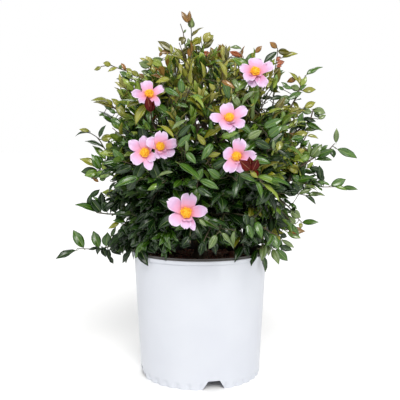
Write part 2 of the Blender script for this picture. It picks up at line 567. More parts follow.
        (263, 127.5, 283.5, 118.5, 8), (268, 137, 283, 125, 9), (247, 138.5, 262.5, 130.5, 8, "sage"),
        (254, 140.5, 271.5, 148.5, 8.5, "deep"), (281, 141, 277, 151, 7, "olive"),
        (273, 150, 273, 139, 3.5, "sage"), (221, 137, 239, 132.5, 7, "grass"),
    )),
    "front_high_right": ("front", "khaki", ((258, 114), (250, 106), (246, 99)), (
        (256.5, 91.5, 241.5, 106.5, 4, "sage"), (253, 121, 255, 102.5, 4, "sage"),
        (240, 107, 231, 93, 6.5, "sage"), (233, 79, 239.5, 90.5, 5, "sage"),
    )),
    "front_high": ("front", "olive", ((222, 98), (220, 88), (221, 80)), (
        (221, 81, 235, 89, 5, "bronze"), (226, 80, 217.5, 60, 4), (203, 79, 200, 61, 4),
        (215, 90, 209, 83, 5),
    )),
    "front_stem": ("front", "olive", ((184, 106), (187, 96), (190, 88)), (
        (192.5, 86, 194.5, 58, 4), (182, 93, 181, 77.5, 7, "green"), (164, 88.5, 180, 97, 6, "green"),
        (191, 95.5, 204, 109, 4, "lime"), (204, 98, 190, 96.5, 4, "grass"), (170, 79, 155, 83, 5),
    )),
    "front_centre": ("front", "green", ((182, 152), (178, 144), (176, 136)), (
        (159.5, 126, 174.5, 138.5, 4, "olive"), (187, 120, 171, 130.5, 4, "sage"),
        (178, 137.5, 191, 124, 6, "deep"), (178, 147, 191, 133.5, 7), (186, 152, 185.5, 139, 4, "sage"),
    )),
    "front_left": ("front", "green", ((152, 172), (146, 178), (139, 180)), (
        (140, 178, 113.5, 188.5, 8), (128, 190, 136, 178, 8, "deep"), (158.5, 184, 147, 190.3, 5, "grass"),
        (158, 176.5, 173.5, 172, 3, "sage"),
    )),
    "front_soil": ("front", "deep", ((214, 222), (208, 232), (204, 241)), (
        (203, 242, 200, 256, 7, "shade"), (214, 240, 216, 255, 7, "shade"),
        (190, 236, 182, 247, 8, "shade"),
    )),
}

# Flowers that face the camera: the pixel of the stamens' middle, yaw to the right and pitch upwards
# in degrees, petaloids, then each petal's tip, its width in pixels and how deep its tip is notched.
FRONT_FLOWERS = {
    "top_right": (
        (255.5, 70.5, 4, 22, 3),
        ((256, 57.5, 15, 0.05), (274.5, 68.5, 12.5, 0.04), (237.5, 68.5, 10.5, 0.08)),
        ((245.5, 83.5, 12, 0.06), (254, 87, 12.5, 0.05), (265, 88, 12, 0.12)),
    ),
    "upper_left": (
        (149.3, 92.5, 0, 34, 1),
        ((145.7, 81.6, 12, 0.05), (164, 87, 9.5, 0.06), (131, 93.6, 9.5, 0.10)),
        ((141, 104.3, 10, 0.05), (157.6, 107.6, 10, 0.12), (150, 107, 9, 0.05)),
    ),
    "middle_right": (
        (229.3, 116.5, 0, 24, 3),
        ((226.3, 103.3, 14.5, 0.05), (246.8, 108.6, 11.5, 0.05), (209, 119, 11, 0.05)),
        ((222, 131.8, 14, 0.05), (231.5, 132.5, 12, 0.05), (244.3, 128.6, 11.5, 0.10)),
    ),
    "middle_left": (
        (144.3, 152.3, -10, 8, 0),
        ((143.7, 135.4, 9.5, 0.05), (153.5, 139, 11, 0.04), (128.8, 140.8, 10.5, 0.04)),
        ((131.5, 162.5, 13.5, 0.08), (150.2, 170.4, 9.5, 0.03), (155.5, 161, 10.5, 0.05)),
    ),
    "middle_left_twin": (
        (160.4, 146, 8, 12, 2),
        ((161, 130.8, 14, 0.20), (178.6, 143, 10, 0.10), (173.2, 156.4, 12, 0.05)),
        ((165, 159.5, 9.5, 0.04), (156, 158, 9, 0.08), (147, 139, 11, 0.05)),
    ),
    "right": (
        (236.4, 156, -14, 10, 2),
        ((241.5, 137.8, 13.5, 0.22), (256.6, 153, 11, 0.12), (222.8, 152, 13, 0.05)),
        ((229.6, 175, 14, 0.16), (241, 172.8, 10.5, 0.05), (250, 162, 9, 0.05)),
    ),
    "low": (
        (186.2, 212.6, -4, 6, 2),
        ((188.8, 192.2, 16, 0.20), (209, 210, 11.5, 0.05), (193.6, 231, 7, 0.03)),
        ((185.6, 229.5, 10.5, 0.10), (170.5, 224.5, 14, 0.06), (166.4, 200, 13.5, 0.10)),
    ),
}
# Flowers out of the photograph's sight: degrees round the crown from +X, height and radius in metres.
HIDDEN_FLOWERS = {
    "back": (96, 0.452, 0.030),
    "back_left": (126, 0.372, 0.031),
    "back_right": (62, 0.370, 0.029),
    "back_low": (84, 0.300, 0.032),
    "left": (128, 0.452, 0.028),
    "left_low": (140, 0.290, 0.031),
    "right": (64, 0.466, 0.028),
    "right_low": (40, 0.315, 0.031),
}

# Places on the crown's edge where more shoots stand: x0, y0, x1, y1 in pixels, number of shoots.
THICKER = {
    "upper_left": (116, 80, 134, 108, 9),
    "left": (110, 132, 124, 156, 4),
    "left_elbow": (100, 146, 112, 160, 2),
    "left_low": (106, 190, 124, 212, 5),
    "left_skirt": (114, 232, 138, 252, 7),
    "right_shoulder": (288, 112, 308, 130, 5),
    "right": (292, 142, 312, 166, 5),
    "right_low": (294, 172, 314, 192, 4),
    "right_skirt": (270, 236, 290, 250, 3),
    "top_left": (146, 48, 170, 66, 3),
    "top_right": (245, 54, 262, 64, 1),
    "between_flowers": (124, 158, 160, 168, 3),
}
# Gaps between leaves that show the sky or the potting mix: x0, y0, x1, y1 in pixels.
SKY_GAPS = (
    (172, 28, 188, 47), (196, 43, 202, 51), (204, 45, 210, 50), (228, 47, 238, 52), (236, 44, 251, 51),
    (209, 41, 216, 48), (221, 38, 228, 42), (244, 53, 250, 58), (162, 54, 167, 58), (162, 61, 167, 66),
    (131, 66, 144, 74), (129, 80, 135, 84), (117, 80, 121, 85), (239, 55, 246, 61), (255, 55, 264, 63),
    (277, 51, 284, 58), (278, 74, 290, 88), (262, 87, 293, 97), (259, 100, 275, 110), (283, 101, 294, 108),
    (298, 76, 302, 80), (306, 91, 311, 95), (291, 105, 296, 109), (302, 112, 308, 117),
    (318, 106, 324, 110), (297, 119, 300, 122), (297, 128, 300, 131), (297, 144, 301, 152),
    (303, 142, 307, 148), (325, 153, 330, 157), (331, 135, 335, 141), (304, 173, 308, 176),
    (299, 186, 302, 192), (274, 195, 279, 201), (286, 204, 295, 211), (291, 196, 297, 202),
    (294, 219, 300, 226), (176, 242, 186, 254), (188, 240, 200, 252), (213, 246, 226, 254),
    (152, 258, 161, 263), (297, 202, 302, 207), (286, 202, 293, 211), (94, 250, 101, 257),
    (286, 213, 291, 216), (269, 199, 273, 202), (280, 241, 289, 245), (286, 236, 292, 241),
    (104, 121, 112, 133), (111, 110, 119, 117), (98, 121, 106, 127), (119, 132, 124, 137),
    (102, 108, 109, 112), (96, 96, 104, 99), (135, 115, 139, 120), (101, 142, 106, 147), (90, 139, 96, 142),
    (98, 179, 109, 186), (115, 207, 120, 213), (115, 226, 121, 235), (104, 185, 109, 189),
    (120, 255, 125, 261), (99, 242, 104, 249), (125, 171, 129, 175), (150, 119, 158, 125),
    (146, 167, 152, 172), (165, 120, 168, 125), (196, 118, 201, 123), (152, 112, 156, 115),
    (204, 124, 208, 128), (185, 121, 189, 124), (214, 88, 218, 92), (173, 70, 178, 75),
    (238, 227, 243, 232), (180, 62, 184, 66), (205, 69, 209, 73),
)


def picture_ray(x, y):
    """The way from the camera through a pixel of the picture."""
    pitch = math.radians(CAMERA_PITCH)
    across = (x - PICTURE_SIDE / 2) / PICTURE_FOCUS
    above = (PICTURE_SIDE / 2 - y) / PICTURE_FOCUS
    forward = np.array([0.0, math.cos(pitch), -math.sin(pitch)])
    upward = np.array([0.0, math.sin(pitch), math.cos(pitch)])
    return forward + across * np.array([1.0, 0.0, 0.0]) + above * upward


def at_pixel(x, y, depth):
    """The point that a pixel shows, on the upright plane at this depth."""
    way = picture_ray(x, y)
    return EYE + way * (depth - EYE[1]) / way[1]


# ---------------------------------------------------------------- growth


class Skeleton:
    """Points of all limbs and twigs. Each knows its parent, its way, its order and its path length."""

    def __init__(self, room=40000):
        self.points = np.zeros((room, 3))
        self.ways = np.zeros((room, 3))
        self.parents = np.full(room, -1)
        self.orders = np.zeros(room, int)
        self.lengths = np.zeros(room)
        self.least = np.zeros(room)
        self.size = 0

    def add(self, point, parent, order):
        index = self.size
        self.points[index] = point
        self.parents[index] = parent
        self.orders[index] = order
        if parent >= 0:
            leap = point - self.points[parent]
            self.ways[index] = unit(leap)
            self.lengths[index] = self.lengths[parent] + np.linalg.norm(leap)
        else:
            self.ways[index] = UP
        self.size += 1
        return index

    def follow(self, points, parent, order):
        """Adds a run of points, and returns their indices."""
        made = []
        for point in points:
            parent = self.add(point, parent, order)
            made.append(parent)
        return made

    def best_start(self, target, highest_order):
        """The point that a twig to the target leaves from: near, not far out, and heading its way."""
        leap = target - self.points[: self.size]
        distance = np.linalg.norm(leap, axis=1)
        heading = (leap * self.ways[: self.size]).sum(1) / np.maximum(distance, 1e-6)
        cost = distance * (1 + TURN_WEIGHT * (1 - heading)) + PATH_WEIGHT * self.lengths[: self.size]
        cost[self.orders[: self.size] > highest_order] = np.inf
        cost[distance < STEP] = np.inf
        return int(cost.argmin())

    def grow(self, start, target, end_way, order, sway=SWAY):
        """A curved twig from a point to the target, arriving along end_way."""
        begin = self.points[start]
        leap = target - begin
        length = np.linalg.norm(leap)
        leave = unit(self.ways[start] * LEAVING_WEIGHT + unit(leap)) * length
        arrive = unit(end_way * ARRIVING_WEIGHT + unit(leap)) * length * 0.8
        count = max(2, int(math.ceil(length / STEP)))
        shares = np.arange(1, count + 1)[:, None] / count
        squares, cubes = shares**2, shares**3
        curve = (2 * cubes - 3 * squares + 1) * begin + (cubes - 2 * squares + shares) * leave
        curve = curve + (3 * squares - 2 * cubes) * target + (cubes - squares) * arrive
        aside = RANDOM.normal(0, sway, 3) * np.sin(shares * math.pi) * min(1.0, length / FULL_SWAY_LENGTH)
        return self.follow(curve + aside, start, order)

    def radii(self):
        """Pipe model: a limb is as thick as all the twigs that it carries."""
        carried = np.zeros(self.size)
        parents = self.parents[1 : self.size]
        child_count = np.bincount(parents[parents >= 0], minlength=self.size)
        carried[child_count == 0] = 1.0
        for index in range(self.size - 1, 0, -1):
            if self.parents[index] >= 0:
                carried[self.parents[index]] += carried[index]
        return np.maximum(TWIG_RADIUS * carried ** (1 / PIPE_POWER), self.least[: self.size]), carried

    def runs(self, carried):
        """Splits the tree into unbranched runs: each goes on along its heaviest child."""
        children = [[] for _ in range(self.size)]
        for index in range(self.size):
            if self.parents[index] >= 0:
                children[self.parents[index]].append(index)
        runs = []
        starts = [(-1, index) for index in range(self.size) if self.parents[index] < 0]
        while starts:
            parent, index = starts.pop()
            run = [parent] if parent >= 0 else []
            while True:
                run.append(index)
                if not children[index]:
                    break
                ranked = sorted(children[index], key=lambda child: -carried[child])
                starts.extend((index, child) for child in ranked[1:])
                index = ranked[0]
            runs.append(run)
        return runs


# ---------------------------------------------------------------- the solids' places


def node_points(name):
    """The points of a CAD node's mesh."""
    return np.array([vert.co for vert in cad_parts[name].data.vertices], float)


def limb_line(name, count=14):
    """The centre line of a tapering limb's solid, from its lower end up: a cubic through its points."""
    points = node_points(name)
    low = points[points[:, 2] <= np.percentile(points[:, 2], 8)].mean(0)
    high = points[points[:, 2] >= np.percentile(points[:, 2], 92)].mean(0)
    chord = high - low
    place = (points - low) @ chord / chord.dot(chord)
    shares = np.linspace(place.min(), place.max(), count)
    return np.stack([np.polyval(np.polyfit(place, points[:, axis], 3), shares) for axis in range(3)], axis=1)


# Points tried for a square metre of the crown's skin, and the ray that tells whether one is outside.
TRIES_PER_SQUARE_METRE = 40000
SKIN_LIFT = 0.002
SKIN_RAY = 0.12


class Crown:
    """The foliage solids: where their outer skin is, and points inside them."""

    def __init__(self):
        names = [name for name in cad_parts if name.startswith(("foliage_", "spray_"))]
        self.masses = {name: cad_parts[name].data for name in sorted(names)}
        self.middles = {name: node_points(name).mean(0) for name in self.masses}
        points = []
        triangles = []
        self.owner = []
        for name, mesh in self.masses.items():
            mesh.calc_loop_triangles()
            first = len(points)
            points.extend(vert.co.copy() for vert in mesh.vertices)
            for triangle in mesh.loop_triangles:
                triangles.append([first + corner for corner in triangle.vertices])
                self.owner.append(name)
        self.points = np.array(points)
        self.triangles = np.array(triangles)
        self.tree = BVHTree.FromPolygons(points, triangles)

    def front_depth(self, x, y):
        """How deep the crown's front skin lies behind this pixel, or its middle where there is none."""
        hit = self.tree.ray_cast(CAMERA_PLACE, Vector(unit(picture_ray(x, y))))[0]
        return hit.y if hit is not None else 0.0

    def skin_samples(self, spacing):
        """Spaced points on the crown's outer skin, in a random order."""
        corners = self.points[self.triangles]
        cross = np.cross(corners[:, 1] - corners[:, 0], corners[:, 2] - corners[:, 0])
        areas = np.linalg.norm(cross, axis=1) / 2
        count = int(areas.sum() * TRIES_PER_SQUARE_METRE)
        chosen = RANDOM.choice(len(areas), count, p=areas / areas.sum())
        first, second = RANDOM.random((2, count, 1))
        root = np.sqrt(first)
        picked = corners[chosen]
        spots = picked[:, 0] * (1 - root) + picked[:, 1] * root * (1 - second)
        spots = spots + picked[:, 2] * root * second
        normals = unit(cross[chosen])
        kept = []
        for spot, normal, triangle in zip(spots, normals, chosen):
            if kept and (np.linalg.norm(np.array(kept) - spot, axis=1) < spacing).any():
                continue
            outward = outward_at(spot)
            if normal.dot(outward) < 0.05 or self.owner[triangle].startswith("spray_"):
                continue
            lifted = Vector(spot + outward * SKIN_LIFT)
            if self.tree.ray_cast(lifted, Vector(outward), SKIN_RAY)[0] is not None:
                continue
            kept.append(spot)
        return kept


# How much a shoot rises where it heads out of the crown, from the skirt's height to the top's.
SHOOT_SKIRT = 0.215
SHOOT_SPAN = 0.33
RISE_HEIGHTS = [0.0, 0.25, 0.6, 1.0]
RISES = [-0.25, 0.25, 0.75, 1.5]


def shoot_way(point):
    """The way that a shoot heads at this place: out and up, and out and a little down at the skirt."""
    outward = outward_at(point)
    rise = np.interp((point[2] - SHOOT_SKIRT) / SHOOT_SPAN, RISE_HEIGHTS, RISES)
    return unit(outward + UP * rise + RANDOM.normal(0, 0.28, 3))


# Sprays of the CAD that point along the view: a twig is grown through each of them.
DEPTH_SPRAYS = ("spray_front_right", "spray_back_left", "spray_back_right", "spray_back_high")
SPRAY_TWIG_RADIUS = 0.0009
SPRAY_TIP_INSET = 0.012

# Shoots that stand out of the crown on its sides and back, and how far they may reach.
FREE_SHOOTS = 34
FREE_SPACING = 0.055
FREE_LOWEST = 0.26
FREE_REACH = (0.006, 0.030)
FREE_LIMITS = (np.array([-0.236, -0.186, 0.22]), np.array([0.236, 0.192, 0.582]))

# Shoots inside each foliage mass, and the share of all shoots that have a branch to start from.
INNER_SHOOTS = 11
BRANCHED_SHARE = 0.22
# How deep the shoots at the thicker places stand.
THICKER_DEPTHS = (-0.045, 0.035)


def grow_cad_spray(skeleton, name):
    """A long twig through a spray's solid, from the limb that is nearest to its root."""
    points = node_points(name)
    middle = points.mean(0)
    axis = np.linalg.svd(points - middle)[2][0]
    axis = axis * np.sign(axis.dot(outward_at(middle)))
    reach = (points - middle) @ axis
    root = middle + axis * reach.min()
    first = skeleton.grow(skeleton.best_start(root, BOUGH), root, axis, BRANCH)
    nodes = skeleton.grow(first[-1], middle + axis * (reach.max() - SPRAY_TIP_INSET), axis, BRANCH)
    skeleton.least[nodes] = SPRAY_TWIG_RADIUS
    return nodes


def grow_free_shoots(skeleton, spots):
    """Shoots on the sides, back and front that stand out of the crown, so its edge is loose there."""
    shoots = []
    chosen = []
    for spot in spots:
        outward = outward_at(spot)
        if abs(outward[1]) < 0.55 or spot[2] < FREE_LOWEST:
            continue
        if chosen and min(np.linalg.norm(spot - other) for other in chosen) < FREE_SPACING:
            continue
        chosen.append(spot)
        rise = np.interp(spot[2], [0.3, 0.5], [0.1, 0.9])
        way = unit(outward + UP * rise + RANDOM.normal(0, 0.3, 3))
        tip = np.clip(spot + way * RANDOM.uniform(*FREE_REACH), *FREE_LIMITS)
        first = skeleton.best_start(tip - way * 0.07, BRANCH)
        shoots.append((skeleton.grow(first, tip, way, BRANCH), "outer"))
        if len(shoots) == FREE_SHOOTS:
            break
    return shoots


def grow_limbs(skeleton, crown):
    """The stem, the CAD's boughs, and from them a limb to the middle of each foliage mass."""
    stem = limb_line("main_stem", 12)
    stem_nodes = skeleton.follow(stem, -1, STEM)
    fed = set()
    for name in sorted(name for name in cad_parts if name.startswith("bough_")):
        line = limb_line(name)
        near = int(np.linalg.norm(skeleton.points[: len(stem_nodes)] - line[0], axis=1).argmin())
        made = skeleton.follow(line, near, BOUGH)
        mass = name.replace("bough_", "foliage_")
        fed.add(mass)
        middle = crown.middles[mass]
        skeleton.grow(made[-1], middle, outward_at(middle), BOUGH)
    unfed = [name for name in crown.masses if name.startswith("foliage_") and name not in fed]
    for name in sorted(unfed, key=lambda name: np.linalg.norm(crown.middles[name] - stem[-1])):
        middle = crown.middles[name]
        skeleton.grow(skeleton.best_start(middle, BOUGH), middle, outward_at(middle), BOUGH)


def shoot_tips(crown, spots):
    """Where the shoots end: below the crown's skin, and deeper inside each foliage mass."""
    targets = []
    for spot in spots:
        inset = SHOOT_INSET * RANDOM.uniform(0.7, 1.4)
        targets.append((spot - outward_at(spot) * inset, "outer"))
    for name in crown.masses:
        if name.startswith("foliage_"):
            points = node_points(name)
            for corner in points[RANDOM.choice(len(points), INNER_SHOOTS, replace=False)]:
                share = RANDOM.uniform(0.25, 0.75)
                targets.append((crown.middles[name] * (1 - share) + corner * share, "inner"))
    return targets


def depth_in_crown(point):
    """0 in the middle of the crown, 1 on the ellipsoid that it roughly fills."""
    return np.linalg.norm((point - CROWN_MIDDLE) / CROWN_HALF_SIZES)


def grow_plant(crown):
    """Stem, boughs, a limb into each mass, branches in it, then leafy shoots: (skeleton, shoots)."""
    skeleton = Skeleton()
    grow_limbs(skeleton, crown)
    spots = crown.skin_samples(SHOOT_SPACING)
    targets = shoot_tips(crown, spots)
    branch_spots = [target for target, kind in targets if RANDOM.random() < BRANCHED_SHARE]
    for spot in sorted(branch_spots, key=depth_in_crown):
        place = spot - outward_at(spot) * RANDOM.uniform(0.035, 0.06)
        skeleton.grow(skeleton.best_start(place, BOUGH), place, outward_at(place) + UP * 0.3, BRANCH)
    targets.sort(key=lambda pair: depth_in_crown(pair[0]))
    shoots = [(grow_cad_spray(skeleton, name), "outer") for name in DEPTH_SPRAYS]
    shoots += grow_free_shoots(skeleton, spots)
    for x0, y0, x1, y1, count in THICKER.values():
        for _ in range(count):
            depth = RANDOM.uniform(*THICKER_DEPTHS)
            target = at_pixel(RANDOM.uniform(x0, x1), RANDOM.uniform(y0, y1), depth)
            targets.append((target - outward_at(target) * 0.012, "outer"))
    for target, kind in targets:
        way = shoot_way(target)
        start = skeleton.best_start(target - way * 0.03, BRANCH)
        shoots.append((skeleton.grow(start, target, way, SHOOT), kind))
    return skeleton, shoots


# ---------------------------------------------------------------- stem, boughs and twigs


def bark_relief(points, angles):
    """Ridges that run along a limb, with knots, as a factor on its radius."""
    values = np.ones((len(points), len(angles)))
    for row, point in enumerate(points):
        for column, angle in enumerate(angles):
            place = Vector((math.cos(angle) * 2.2, math.sin(angle) * 2.2, point[2] * 60 + point[0] * 30))
            ridge = noise.noise(Vector((place.x * 2, place.y * 2, place.z * 0.5)))
            values[row, column] += 0.14 * ridge + 0.07 * noise.noise(place * 3.1)
    return values


def smoothed(points, radii, step):
    """The same run with points at an even, finer step."""
    lengths = path_lengths(points)
    wanted = np.linspace(0, lengths[-1], max(3, int(lengths[-1] / step) + 1))
    finer = spots_along(points, lengths, wanted)
    kernel = np.array([0.25, 0.5, 0.25])
    for _ in range(3):
        inner = sum(weight * finer[shift : len(finer) - 2 + shift] for shift, weight in enumerate(kernel))
        finer[1:-1] = inner
    return finer, np.interp(wanted, lengths, radii)


# The stem's radius at the soil, what it loses up to the height where it is thinnest, and the flare
# of its foot. No limb is thicker than the thickest.
STEM_RADIUS = 0.0052
STEM_TAPER = 0.0036
STEM_TAPER_HEIGHT = 0.30
FLARE = 0.75
FLARE_HEIGHT = 0.008
THICKEST_LIMB = 0.0105
LIMB_STEP = 0.0025
LIMB_SIDES = 14
# Twigs above this radius have six sides, the others five.
STOUT_TWIG = 0.0011


def make_wood(skeleton):
    """Two pieces: the stem and boughs with bark relief, and all the finer twigs."""
    radii, carried = skeleton.radii()
    limbs = Gathered()
    twigs = Gathered()
    for run in skeleton.runs(carried):
        run = np.array(run)
        orders = skeleton.orders[run]
        orders[0] = orders[min(1, len(run) - 1)]
        widths = np.minimum(radii[run], THICKEST_LIMB)
        widths[0] = widths[min(1, len(run) - 1)]
        points = skeleton.points[run]
        thick = int((orders <= BOUGH).sum())
        if thick > 1:
            rises = points[:thick, 2] - points[0, 2]
            flare = 1 + FLARE * np.exp(-rises / FLARE_HEIGHT)
            taper = STEM_TAPER * np.clip(rises / STEM_TAPER_HEIGHT, 0, 1)
            stem_widths = np.maximum(widths[:thick] * 0.9, STEM_RADIUS - taper) * flare
            own_widths = np.where(orders[:thick] == STEM, stem_widths, widths[:thick])
            fine, fine_widths = smoothed(points[:thick], own_widths, LIMB_STEP)
            limbs.add(*tube(fine, fine_widths, LIMB_SIDES, 0, bark_relief))
        if thick < len(run):
            first = max(thick - 1, 0)
            sides = 6 if widths[first:].max() > STOUT_TWIG else 5
            twigs.add(*tube(points[first:], widths[first:], sides, int(orders[-1] >= SHOOT)))
    bark = surface("bark", linear(118, 100, 80), 0.85, linear(84, 70, 56), 180.0, bump=0.6, bump_scale=700.0)
    old = surface("twig_bark", linear(90, 76, 58), 0.75, linear(68, 56, 44), 150.0, bump=0.4)
    new = surface("young_bark", linear(70, 62, 38), 0.6, linear(58, 60, 30), 40.0, bump=0.2)
    return limbs.build("stem_and_boughs", [bark]), twigs.build("twigs", [old, new])


# ---------------------------------------------------------------- leaves

# A leaf's rows from base to tip, and where the columns of its two sides lie, from edge to edge.
# Lengths are shares of the leaf's.
LEAF_STATIONS = 8
UPPER_COLUMNS = np.array([-1.0, -0.52, -0.055, 0.055, 0.52, 1.0])
UNDER_COLUMNS = np.array([-1.0, -0.07, 0.07, 1.0])
LEAF_THICKNESS = 0.011
STALK_RADIUS = 0.016
STALK_ENDS = (-0.11, 0.10)
STALK_DROP = 0.004
# Leaves of ten shapes, more and more curled, with these folds, waves and twists in turn.
LEAF_SHAPES = 10
LEAF_FOLDS = (0.44, 0.54, 0.64, 0.74)
LEAF_WAVES = (0.10, 0.15, 0.20)
LEAF_TWISTS = (-0.5, 0.0, 0.5)
# So many leaves keep a piece under 200,000 triangles.
LEAVES_A_PIECE = 1750


def leaf_template(curl, fold, wave, twist):
    """A leaf of length 1 along y, upper side to +z: blade in two layers with its rib, then its stalk."""
    shares = np.linspace(0, 1, LEAF_STATIONS)
    half = 0.5 * LEAF_WIDTH_SHARE * np.sin(math.pi * shares**0.92) ** 0.82
    half *= np.interp(shares, [0, 0.75, 0.93, 1], [1, 1, 0.72, 1])
    angles = curl * (shares - 0.15)
    steps = np.diff(shares)
    middle_angles = (angles[1:] + angles[:-1]) / 2
    along = np.concatenate([[0], np.cumsum(np.cos(middle_angles) * steps)])
    height = np.concatenate([[0], -np.cumsum(np.sin(middle_angles) * steps)])

    def layer(columns, drop):
        rows = []
        for row in range(1, LEAF_STATIONS - 1):
            turn = twist * (shares[row] - 0.3)
            across = columns * half[row]
            rise = fold * np.abs(across) * (1 - 0.45 * np.abs(columns))
            rise += wave * half[row] * np.abs(columns) * np.sin(shares[row] * 9.0 + (columns > 0) * 1.7)
            side = across * math.cos(turn) - rise * math.sin(turn)
            rise = across * math.sin(turn) + rise * math.cos(turn)
            lower = drop * (np.abs(columns) < 0.99)
            ahead = along[row] - rise * math.sin(angles[row]) * 0.5
            rows.append(np.stack([side, ahead, height[row] + rise - lower], -1))
        return np.array(rows)

    upper = layer(UPPER_COLUMNS, 0.0)
    under = layer(UNDER_COLUMNS, LEAF_THICKNESS)
    rows = LEAF_STATIONS - 2
    first_under = upper.shape[0] * upper.shape[1]
    upper_index = np.arange(first_under).reshape(rows, -1)
    under_index = first_under + np.arange(rows * 2).reshape(rows, 2)
    under_index = np.concatenate([upper_index[:, :1], under_index, upper_index[:, -1:]], axis=1)
    points = np.concatenate([upper.reshape(-1, 3), under[:, 1:3].reshape(-1, 3)])
    base, tip = len(points), len(points) + 1
    points = np.concatenate([points, [[0, 0, 0], [0, along[-1], height[-1]]]])
    groups = []
    for index, flipped, blade in ((upper_index, False, 0), (under_index, True, 1)):
        for column in range(index.shape[1] - 1):
            left, right = index[:, column], index[:, column + 1]
            quads = np.stack([left[:-1], right[:-1], right[1:], left[1:]], -1)
            ends = np.array([[base, right[0], left[0]], [tip, left[-1], right[-1]]])
            if flipped:
                quads, ends = quads[:, ::-1], ends[:, ::-1]
            slot = 2 if column == (index.shape[1] - 1) // 2 else blade
            groups += [(quads, slot), (ends, slot)]
    stalk = []
    for end in STALK_ENDS:
        for corner in range(3):
            angle = 0.5 + corner * 2 * math.pi / 3
            stalk.append([math.cos(angle) * STALK_RADIUS, end, math.sin(angle) * STALK_RADIUS - STALK_DROP])
    groups.append((grid_faces(2, 3, closed=True)[:, ::-1] + len(points), 2))
    groups.append((np.array([[0, 1, 2], [5, 4, 3]]) + len(points), 2))
    points = np.concatenate([points, stalk])
    chord = np.array([along[-1], height[-1]]) / (along[-1] ** 2 + height[-1] ** 2)
    level = np.array([[chord[0], -chord[1]], [chord[1], chord[0]]])
    points[:, 1:] = points[:, 1:] @ level
    return points, groups


def leaf_templates():
    """The shapes that the leaves are copies of."""
    shapes = []
    for index in range(LEAF_SHAPES):
        curl = 0.15 + 0.13 * index
        fold = LEAF_FOLDS[index % 4]
        shapes.append(leaf_template(curl, fold, LEAF_WAVES[index % 3], LEAF_TWISTS[index % 3]))
    return shapes


# A shoot's tint goes by its height, as a share of the crown's, with all shoots a little younger and
# the inner ones older. Low in the crown it also goes by its place from left to right.
YOUTH = 0.07
INNER_AGE = 0.22
SKIRT_PLACES = [-0.17, -0.09, 0.03, 0.11, 0.20]
SKIRT_TINTS = [0.04, -0.24, -0.30, 0.08, 0.19]
# What a shoot's young leaves can be, from the skirt to the top, and what each tint ages to.
TINTS_BY_HEIGHT = (
    ("shade", "deep", "shade", "deep", "green", "deep"),
    ("deep", "green", "deep", "shade", "grass", "green"),
    ("green", "grass", "green", "olive", "deep", "lime"),
    ("olive", "grass", "green", "dusk", "khaki", "lime"),
    ("olive", "bronze", "khaki", "dusk", "lime", "olive"),
)
OLDER = {
    "russet": "bronze",
    "bronze": "olive",
    "khaki": "olive",
    "dusk": "green",
    "olive": "green",
    "lime": "grass",
    "grass": "green",
    "sage": "deep",
    "green": "deep",
    "deep": "shade",
    "shade": "shade",
    "wine": "wine",
}


def tint_of(point, kind):
    """The young tint of a whole shoot, by how high it stands."""
    height = height_share(point)
    drift = noise.noise(Vector(point) * 14.0) * 0.28
    level = height + drift + RANDOM.normal(0, 0.08)
    level += (1 - height) * np.interp(point[0], SKIRT_PLACES, SKIRT_TINTS)
    level += YOUTH
    if kind == "inner":
        level -= INNER_AGE
    row = int(np.clip(level * len(TINTS_BY_HEIGHT), 0, len(TINTS_BY_HEIGHT) - 1))
    return TINTS_BY_HEIGHT[row][RANDOM.integers(6)]


class Leaves:
    """Leaves waiting to be built, by tint."""

    def __init__(self):
        self.waiting = {tint: [] for tint in LEAF_TINTS}

    def add(self, tint, place, way, normal, length, width=1.0):
        """A leaf from this place on, with its upper side to the normal."""
        self.waiting[tint].append((place, way, normal, length, width))

    def clear(self, is_in_way, shares=(0.5, 0.95)):
        """Drops the leaves that stand in the way of something, by these shares of their length."""
        for tint, leaves in self.waiting.items():
            if leaves:
                bases = np.array([leaf[0] for leaf in leaves])
                along = np.array([unit(leaf[1]) * leaf[3] for leaf in leaves])
                blocked = np.any([is_in_way(bases + along * share) for share in shares], axis=0)
                self.waiting[tint] = [leaf for leaf, bad in zip(leaves, blocked) if not bad]

    def build(self):
        """One piece for each tint, or more where there are many leaves."""
        shapes = leaf_templates()
        made = []
        for tint, leaves in self.waiting.items():
            materials = leaf_materials(tint) if leaves else []
            for start in range(0, len(leaves), LEAVES_A_PIECE):
                part = leaves[start : start + LEAVES_A_PIECE]
                gathered = Gathered()
                places, ways, normals = (np.array([leaf[item] for leaf in part]) for item in range(3))
                lengths, widths = (np.array([leaf[item] for leaf in part]) for item in (3, 4))
                frames = frames_of(ways, normals)
                kinds = RANDOM.integers(0, len(shapes), len(part))
                for kind, shape in enumerate(shapes):
                    chosen = kinds == kind
                    if chosen.any():
                        wide = widths[chosen]
                        sizes = lengths[chosen][:, None] * np.stack([wide, np.ones_like(wide), wide**0.5], 1)
                        gathered.add_copies(shape, frames[chosen], places[chosen], sizes)
                number = f"_{start // LEAVES_A_PIECE + 1}" if start else ""
                made.append(gathered.build(f"leaves_{tint}{number}", materials))
        return made


def pixels_of(points):
    """The pixels of the picture that show these points."""
    pitch = math.radians(CAMERA_PITCH)
    apart = points - EYE
    ahead = apart[:, 1] * math.cos(pitch) - apart[:, 2] * math.sin(pitch)
    above = apart[:, 1] * math.sin(pitch) + apart[:, 2] * math.cos(pitch)
    half = PICTURE_SIDE / 2
    return half + apart[:, 0] / ahead * PICTURE_FOCUS, half - above / ahead * PICTURE_FOCUS


def open_sky_gaps(leaves):
    """Drops the leaves that stand in the gaps."""
    gaps = np.array(SKY_GAPS)

    def shows_in_gap(points):
        x, y = (values[:, None] for values in pixels_of(points))
        inside = (x > gaps[:, 0]) & (y > gaps[:, 1]) & (x < gaps[:, 2]) & (y < gaps[:, 3])
        return inside.any(axis=1)

    leaves.clear(shows_in_gap, (0.25, 0.45, 0.65, 0.85, 1.0))


